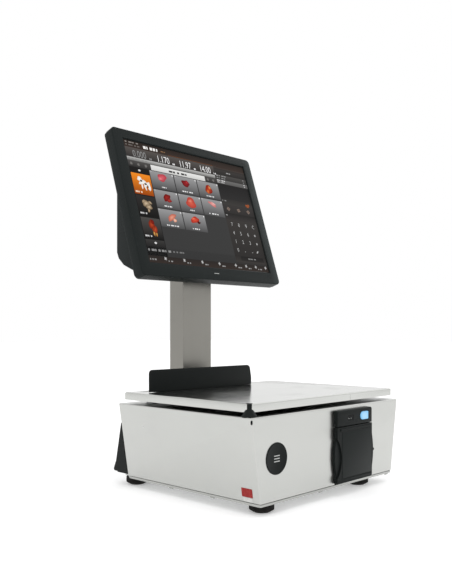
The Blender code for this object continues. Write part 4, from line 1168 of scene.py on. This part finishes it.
def draw_goods(art):
    art.tile(178, 204, 868, 865, "3a3a3a", "393939")
    columns = ((182, 403), (412, 633), (642, 864))
    rows = ((207, 345), (353, 492), (500, 640))
    goods = {
        (0, 0): ((290, 248, 42, 30, "d8606a", "b03a46", 15), (272, 258, 22, 14, "e88a90", "c8505c", 0)),
        (1, 0): ((515, 258, 38, 26, "9a1f24", "5f1014", -10), (530, 246, 18, 16, "b5333a", "7d171c", 0)),
        (2, 0): ((752, 268, 36, 36, "c43a1c", "7d1d10", 20), (740, 286, 16, 18, "e07a3c", "a03a18", 0),
                 (764, 252, 12, 16, "e8a060", "b04a20", 30)),
        (0, 1): ((292, 404, 38, 24, "a02420", "64100f", 35), (310, 424, 22, 16, "b23a30", "75171a", 0)),
        (1, 1): ((525, 412, 46, 44, "d8604c", "b03a30", 0), (520, 398, 22, 14, "e88a74", "c85a48", 10)),
        (2, 1): ((752, 392, 42, 12, "e8a8a4", "c8605e", -25), (766, 384, 26, 7, "f0c4bf", "d88884", -25)),
        (0, 2): ((298, 556, 46, 20, "e8a088", "b85a48", 35), (322, 576, 16, 14, "f2d0b8", "d88a70", 0)),
        (1, 2): ((525, 548, 44, 24, "e0523a", "a02418", 15), (560, 566, 16, 10, "5a1410", "3a0c0a", 0),
                 (512, 540, 22, 10, "f08060", "c84030", 10)),
    }
    for (column, row), shapes in goods.items():
        x0, x1 = columns[column]
        y0, y1 = rows[row]
        art.tile(x0, y0, x1, y1, "969697", "4a4a4b", 2)
        art.tile(x0, y1 - 3, x1, y1, "3a3a3a", None, 3)
        art.tile(x1 - 14, y0 + 4, x1 - 3, y0 + 14, "e6e6e6", None, 3)
        art.tile(x0 + 4, y0 + 4, x0 + 20, y0 + 8, "c6c6c6", None, 3)
        for i, (x, y, rx, ry, inner, outer, turn) in enumerate(shapes):
            art.blob(x, y, rx, ry, inner, outer, 3 + i, turn)
        wide = 46 + 34 * ((column * 2 + row) % 3)
        art.words((x0 + x1) / 2 - wide / 2, y1 - 24, wide, 9, "eeeeee", 4, 4 + (column + row) % 3)


def draw_side(art):
    art.tile(868, 70, 1220, 114, "3a3735", "2a2827")
    art.words(1000, 84, 60, 9, "a0a0a0", 3, 2)
    art.tile(868, 114, 1220, 158, "4a4846", "353433")
    art.tile(868, 158, 1220, 192, "6b6a69", "565554")
    for i, (y, tint) in enumerate(((120, "9a9a9a"), (140, "8c8c8c"), (162, "e0e0e0"), (178, "c0c0c0"))):
        art.words(876, y, 120 - 12 * i, 8, tint, 3, 4)
        art.words(1180, y, 26, 8, tint, 3, 1)
    art.tile(868, 194, 1220, 322, "1f1e1e", "2b2a2a")
    art.words(878, 334, 50, 8, "8c8c8c", 3, 2)
    art.tile(868, 322, 1220, 372, "302e2d", "3b3937")
    for x, y, rx, ry in ((1150, 350, 14, 11), (1172, 346, 14, 10), (1162, 358, 16, 9)):
        art.blob(x, y, rx, ry, "b0623a", "7a3d22", 3)
    art.tile(868, 374, 1220, 440, "383534", "2f2d2c")
    for x in (925, 1040, 1152):
        art.blob(x, 406, 16, 14, "5d4a42", "8a7a70", 3, 0, 4, 0.2)
    art.tile(868, 442, 1220, 492, "242322", "373433")
    art.words(880, 456, 24, 9, "a0a0a0", 3, 1)
    art.tile(868, 494, 1220, 790, "393634", "2d2b2a")
    keys = (("7", "8", "9", "C"), ("4", "5", "6", None), ("1", "2", "3", None), ("0", None, None, None))
    columns = (912, 990, 1072, 1150)
    for row, texts in enumerate(keys):
        y = 550 + 71 * row
        for x, text in zip(columns, texts):
            if text:
                art.digits(text, x, y, 30, "bdbdbd", 4, 0.85)
            elif row in (1, 2):
                art.blob(x + 10, y - 12, 9, 9, "bdbdbd", "9a9a9a", 4, 0, 4, 0.25)
            elif row == 3 and x != 1150:
                art.tile(x + 6, y - 8, x + 14, y - 1, "9a9a9a", None, 4)
            elif row == 3:
                art.blob(x - 8, y - 12, 16, 6, "bdbdbd", "a0a0a0", 4, 40, 2, 0.1)
    art.tile(868, 792, 1220, 850, "2a2827", "3a3735")
    art.tile(930, 800, 1190, 836, "1f1e1d", "2b2928", 2)
    art.words(1012, 812, 90, 10, "8c8c8c", 4, 4)


def draw_footer(art):
    art.tile(0, 800, 868, 865, "3c3c3c", "353535")
    art.words(12, 816, 210, 16, "8e8e8e", 3, 7)
    art.words(236, 818, 120, 11, "777777", 3, 4)
    art.tile(0, 865, 1220, 915, "2b2725", "352c28")
    art.words(10, 886, 60, 12, "8e8e8e", 3, 3)
    for x in (150, 325, 500, 675, 850, 965, 1075, 1190):
        art.blob(x, 880, 11, 12, "d2d2d2", "8a8a8a", 3, 0, 4, 0.25)
        if x < 1150:
            art.words(x + 24, 892, 46, 9, "9c9c9c", 3, 2)


class SCALE_OT_picture(bpy.types.Operator):
    """Lays out the lit picture on the glass."""

    bl_idname = "retail_scale.picture"
    bl_label = "Screen picture"

    def execute(self, context):
        art = Picture()
        art.tile(0, 0, GRID[0], GRID[1], "2a2827", "333130", 0)
        draw_header(art)
        draw_menu(art)
        draw_goods(art)
        draw_side(art)
        draw_footer(art)
        piece = lean_back(art.done())
        finish_piece(piece, "screen_picture", "monitor", finish("picture"), ())
        return {"FINISHED"}


# ---------------------------------------------------------------- the back


def leaning_wedge(outline, inset):
    """A bar with a convex (y, z) outline, its ends following the body's leaning sides."""
    reach = BODY_HALF + 0.01
    bar = wedge(outline, (-reach, reach))
    for sx in (-1, 1):
        normal = Vector((sx * (BODY_TOP - BODY_LOW), 0.0, -BODY_LEAN)).normalized()
        slice_off(bar, (sx * (side_half(BODY_LOW) - inset), 0.0, BODY_LOW), normal)
    return bar


def make_rear_cover():
    """Black cover on the back: a low flared skirt and a hump with the sockets, with vents and screws."""
    y0 = BODY_BACK + GAP
    upper = [(y0, 0.0210), (0.1746, 0.0210), (0.1746, 0.0410), (y0, 0.1080)]
    lower = [(y0, 0.0210), (0.1835, 0.0228), (0.1841, 0.0264), (0.1746, 0.0410), (y0, 0.0410)]
    cover = leaning_wedge(upper, 0.0)
    fuse(cover, leaning_wedge(lower, 0.0))
    hump = wedge([(y0, 0.0210), (0.2060, 0.0210), (0.2080, 0.0240), (0.2080, 0.1120), (0.2020, 0.1215), (y0, 0.1280)],
                 (-0.0950, 0.0950))
    round_off(hump, 0.0035, 4, lambda e: lies(e, "X", 0.0950) or lies(e, "X", -0.0950))
    fuse(cover, hump)
    inner = [(0.1300, 0.0100), (0.1722, 0.0100), (0.1722, 0.0395), (y0, 0.1010), (0.1300, 0.1010)]
    inner_low = [(0.1300, 0.0100), (0.1811, 0.0100), (0.1811, 0.0255), (0.1722, 0.0395), (0.1300, 0.0395)]
    room = leaning_wedge(inner, 0.0025)
    fuse(room, leaning_wedge(inner_low, 0.0025))
    cut(cover, room)
    cut(cover, wedge([(0.1300, 0.0100), (0.2055, 0.0100), (0.2055, 0.1110), (0.2000, 0.1193), (y0, 0.1254),
                      (0.1300, 0.1254)], (-0.0925, 0.0925)))
    half, front, back = POST_HIGH.x + GAP, POST_LOW.y - CENTRE_Y - GAP, POST_HIGH.y - CENTRE_Y + GAP
    cut(cover, block((-half, half), (front, back), (0.10, 0.15)))
    for x0, x1, z0, z1, corner in ((0.0560, 0.0840, 0.0360, 0.0560, 0.0008), (0.0600, 0.0800, 0.0645, 0.0815, 0.0006),
                                   (-0.0860, -0.0460, 0.0360, 0.0800, 0.0008)):
        hole = block((x0, x1), (0.19, 0.22), (z0, z1))
        round_off(hole, corner, 2, lambda e: runs(e, "Y"))
        cut(cover, hole)
    slots = []
    for i in range(8):
        x = -0.0285 + 0.0081 * i
        slot = block((x - 0.0014, x + 0.0014), (0.20, 0.22), (0.0450, 0.0800))
        round_off(slot, 0.0013, 3, lambda e: runs(e, "Y"))
        slots.append(slot)
    cut(cover, together(slots))
    finish_piece(move_back(cover), "rear_hood", "base", finish("black"), ["rear_cover"])
    heads = screw_heads([(sx * 0.0860, 0.2079, z) for sx in (-1, 1) for z in (0.029, 0.098)], 0.0030)
    finish_piece(move_back(heads), "hood_screws", "base", finish("bolt"), ())


def make_switch():
    """Rocker with a dished face and a moulded mark at each end."""
    y, z = 0.2085, 0.0730
    sides = (0.0604, 0.0796)
    root = y - 0.0070
    lap = z - 0.0004
    low = wedge([(root, z - 0.0050), (y + 0.0016, z - 0.0066), (y, z), (root, z)], sides)
    high = wedge([(root, lap), (y, lap), (y - 0.0008, z + 0.0066), (root, z + 0.0050)], sides)
    fuse(low, high)
    round_off(low, 0.0005, 2, lambda e: any(lies(e, "X", side) for side in sides))
    for dz in (-0.0042, 0.0042):
        depth = y + (0.0010 if dz < 0 else -0.0004)
        cut(low, block((0.0690, 0.0710), (depth - 0.0002, depth + 0.004), (z + dz - 0.0005, z + dz + 0.0005)))
    finish_piece(move_back(low), "rocker", "switch", finish("door_black"), ["rocker_switch"])


class SCALE_OT_rear(bpy.types.Operator):
    """Builds the rear cover with its screws and the mains switch."""

    bl_idname = "retail_scale.rear"
    bl_label = "Rear"

    def execute(self, context):
        make_rear_cover()
        make_switch()
        return {"FINISHED"}


# ---------------------------------------------------------------- the feet

FEET = ("fl", "fr", "rl", "rr")


def make_pad():
    """Rubber pad about the origin: a narrow hollowed sole, a flared lower edge and a ribbed side."""
    pad = drum(0.0115, (0.0, 0.0040), (0, 0, 0), "Z", 48, 0.0185)
    for place, rise in ((0.0040, 0.0085), (0.0125, 0.0020)):
        shape(pad, "FACE", lambda f: lies(f, "Z", place), bpy.ops.mesh.extrude_region_move,
              TRANSFORM_OT_translate={"value": (0.0, 0.0, rise)})
    resize_end(pad, "Z", 0.0145, (0.895, 0.895, 1.0), (0.0, 0.0, 0.0145))
    round_off(pad, 0.0007, 2, lambda e: lies(e, "Z", 0.0) or lies(e, "Z", 0.0145) or lies(e, "Z", 0.0040))
    for z in (0.0065, 0.0095):
        ring = drum(0.0220, (z - 0.0004, z + 0.0004), (0, 0, 0), "Z", 48)
        cut(ring, drum(0.0179, (z - 0.002, z + 0.002), (0, 0, 0), "Z", 48))
        cut(pad, ring)
    cut(pad, drum(0.0080, (-0.001, 0.0010), (0, 0, 0), "Z", 36))
    return pad


def make_stud():
    """Levelling stud about the origin: threaded rod and lock nut."""
    stud = drum(0.0040, (0.0148, 0.0380), (0, 0, 0), "Z", 24)
    round_off(stud, 0.0008, 2, lambda e: lies(e, "Z", 0.0380))
    nut = drum(0.0060, (0.0182, 0.0227), (0, 0, 0), "Z", 6)
    round_off(nut, 0.0004, 2, lambda e: lies(e, "Z", 0.0182) or lies(e, "Z", 0.0227))
    fuse(stud, nut)
    grooves = []
    for i in range(11):
        z = 0.0245 + 0.00115 * i
        groove = drum(0.0060, (z - 0.0002, z + 0.0002), (0, 0, 0), "Z", 24)
        cut(groove, drum(0.0036, (z - 0.001, z + 0.001), (0, 0, 0), "Z", 24))
        grooves.append(groove)
    cut(stud, together(grooves))
    return stud


class SCALE_OT_feet(bpy.types.Operator):
    """Builds one foot and copies it to the four corners."""

    bl_idname = "retail_scale.feet"
    bl_label = "Feet"

    def execute(self, context):
        for kind, maker, look, slot in (("foot_pad", make_pad, "rubber", "black_rubber"),
                                        ("foot_stud", make_stud, "bolt", "steel_zinc")):
            pattern = maker()
            for key in FEET:
                low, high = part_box(f"{kind}_{key}")
                copy = twin(pattern, ((low.x + high.x) / 2, (low.y + high.y) / 2, 0.0))
                finish_piece(copy, f"{kind.replace('foot_', 'levelling_')}_{key}", f"foot_{key}", finish(look),
                             [f"{kind}_{key}"])
            only(pattern)
            bpy.ops.object.delete()
        return {"FINISHED"}


# ---------------------------------------------------------------- parts kept from the frame

KEPT_FINISHES = {
    "zinc": ("base_plate", "post_foot", "post_head", "hinge_shaft", "hinge_bracket", "lcd_panel", "monitor_chassis",
             "cassette_chassis", "rail_left", "rail_right", "printer_motor", "connector_block"),
    "aluminium": ("cell_pedestal", "load_cell", "cell_spacer", "platform_spider", "power_supply", "heat_sink",
                  "print_head"),
    "board": ("main_board", "computer_board", "driver_board"),
    "black": ("under_tray", "power_inlet", "roll_spindle", "rewind_spool"),
    "rubber": ("platen_roller",),
    "brass": ("platen_gear", "motor_pinion"),
    "paper": ("label_roll",),
}


class SCALE_OT_inside(bpy.types.Operator):
    """Gives the parts kept from the frame their finishes."""

    bl_idname = "retail_scale.inside"
    bl_label = "Kept parts"

    def execute(self, context):
        for look, names in KEPT_FINISHES.items():
            for name in names:
                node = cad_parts[name]
                node.data.materials.clear()
                node.data.materials.append(finish(look))
        plain = sorted(n for n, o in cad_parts.items()
                       if not o.hide_render and not any(n in names for names in KEPT_FINISHES.values()))
        if plain:
            raise RuntimeError(f"no finish for {plain}")
        return {"FINISHED"}


# ---------------------------------------------------------------- stage


def soft_light(name, place, aim, size, energy):
    unselect()
    bpy.ops.object.light_add(type="AREA", location=place)
    light = bpy.context.object
    light.name = name
    light.data.shape = "RECTANGLE"
    light.data.size, light.data.size_y = size
    light.data.energy = energy
    light.rotation_euler = (Vector(aim) - Vector(place)).to_track_quat("-Z", "Y").to_euler()
    return light


class SCALE_OT_stage(bpy.types.Operator):
    """Lays the pale floor and sets the soft light and the camera."""

    bl_idname = "retail_scale.stage"
    bl_label = "Stage"

    def execute(self, context):
        unselect()
        bpy.ops.mesh.primitive_plane_add(size=24.0, location=(0.0, 0.0, 0.0))
        floor = bpy.context.object
        floor.name = "floor"
        floor.data.materials.append(floor_finish("Pale_floor"))

        world = bpy.data.worlds.new("Studio")
        world.use_nodes = True
        context.scene.world = world
        back = world.node_tree.nodes["Background"]
        back.inputs["Color"].default_value = (1.0, 1.0, 1.0, 1.0)
        back.inputs["Strength"].default_value = 1.0

        soft_light("key", (-0.9, -0.7, 1.9), (0.0, 0.0, 0.2), (1.2, 1.2), 4.0)
        soft_light("side", (1.7, -0.2, 1.2), (0.0, 0.0, 0.3), (1.2, 1.4), 3.0)

        bpy.ops.object.camera_add(location=(-0.91709, -0.82472, 0.26222),
                                  rotation=(math.radians(90.0), 0.0, math.radians(-46.37)))
        camera = bpy.context.object
        camera.name = "camera"
        camera.data.sensor_width = 36.0
        camera.data.lens = 43.97
        camera.data.shift_x = -0.0057
        camera.data.shift_y = 0.0643
        camera.data.clip_start = 0.05
        camera.data.clip_end = 60.0
        context.scene.camera = camera
        context.scene.view_settings.view_transform = "Standard"
        return {"FINISHED"}


# ---------------------------------------------------------------- panel and registration

STEPS = (SCALE_OT_body, SCALE_OT_platform, SCALE_OT_printer, SCALE_OT_column, SCALE_OT_monitor, SCALE_OT_picture,
         SCALE_OT_rear, SCALE_OT_feet, SCALE_OT_inside, SCALE_OT_stage)


class SCALE_PT_panel(bpy.types.Panel):
    """Lists the sizes, the colours and the steps."""

    bl_idname = "SCALE_PT_panel"
    bl_label = "Retail Scale"
    bl_space_type = "VIEW_3D"
    bl_region_type = "UI"
    bl_category = "Retail Scale"

    def draw(self, context):
        column = self.layout.column()
        for group in (context.scene.retail_scale_sizes, context.scene.retail_scale_tints):
            for key in group.__annotations__:
                column.prop(group, key)
        for step in STEPS:
            column.operator(step.bl_idname)


CLASSES = (ScaleSizes, ScaleTints, *STEPS, SCALE_PT_panel)


def register():
    for one in CLASSES:
        bpy.utils.register_class(one)
    bpy.types.Scene.retail_scale_sizes = bpy.props.PointerProperty(type=ScaleSizes)
    bpy.types.Scene.retail_scale_tints = bpy.props.PointerProperty(type=ScaleTints)


def unregister():
    del bpy.types.Scene.retail_scale_tints
    del bpy.types.Scene.retail_scale_sizes
    for one in reversed(CLASSES):
        bpy.utils.unregister_class(one)


def main():
    register()
    for step in STEPS:
        group, name = step.bl_idname.split(".")
        getattr(getattr(bpy.ops, group), name)()


if __name__ == "__main__":
    main()
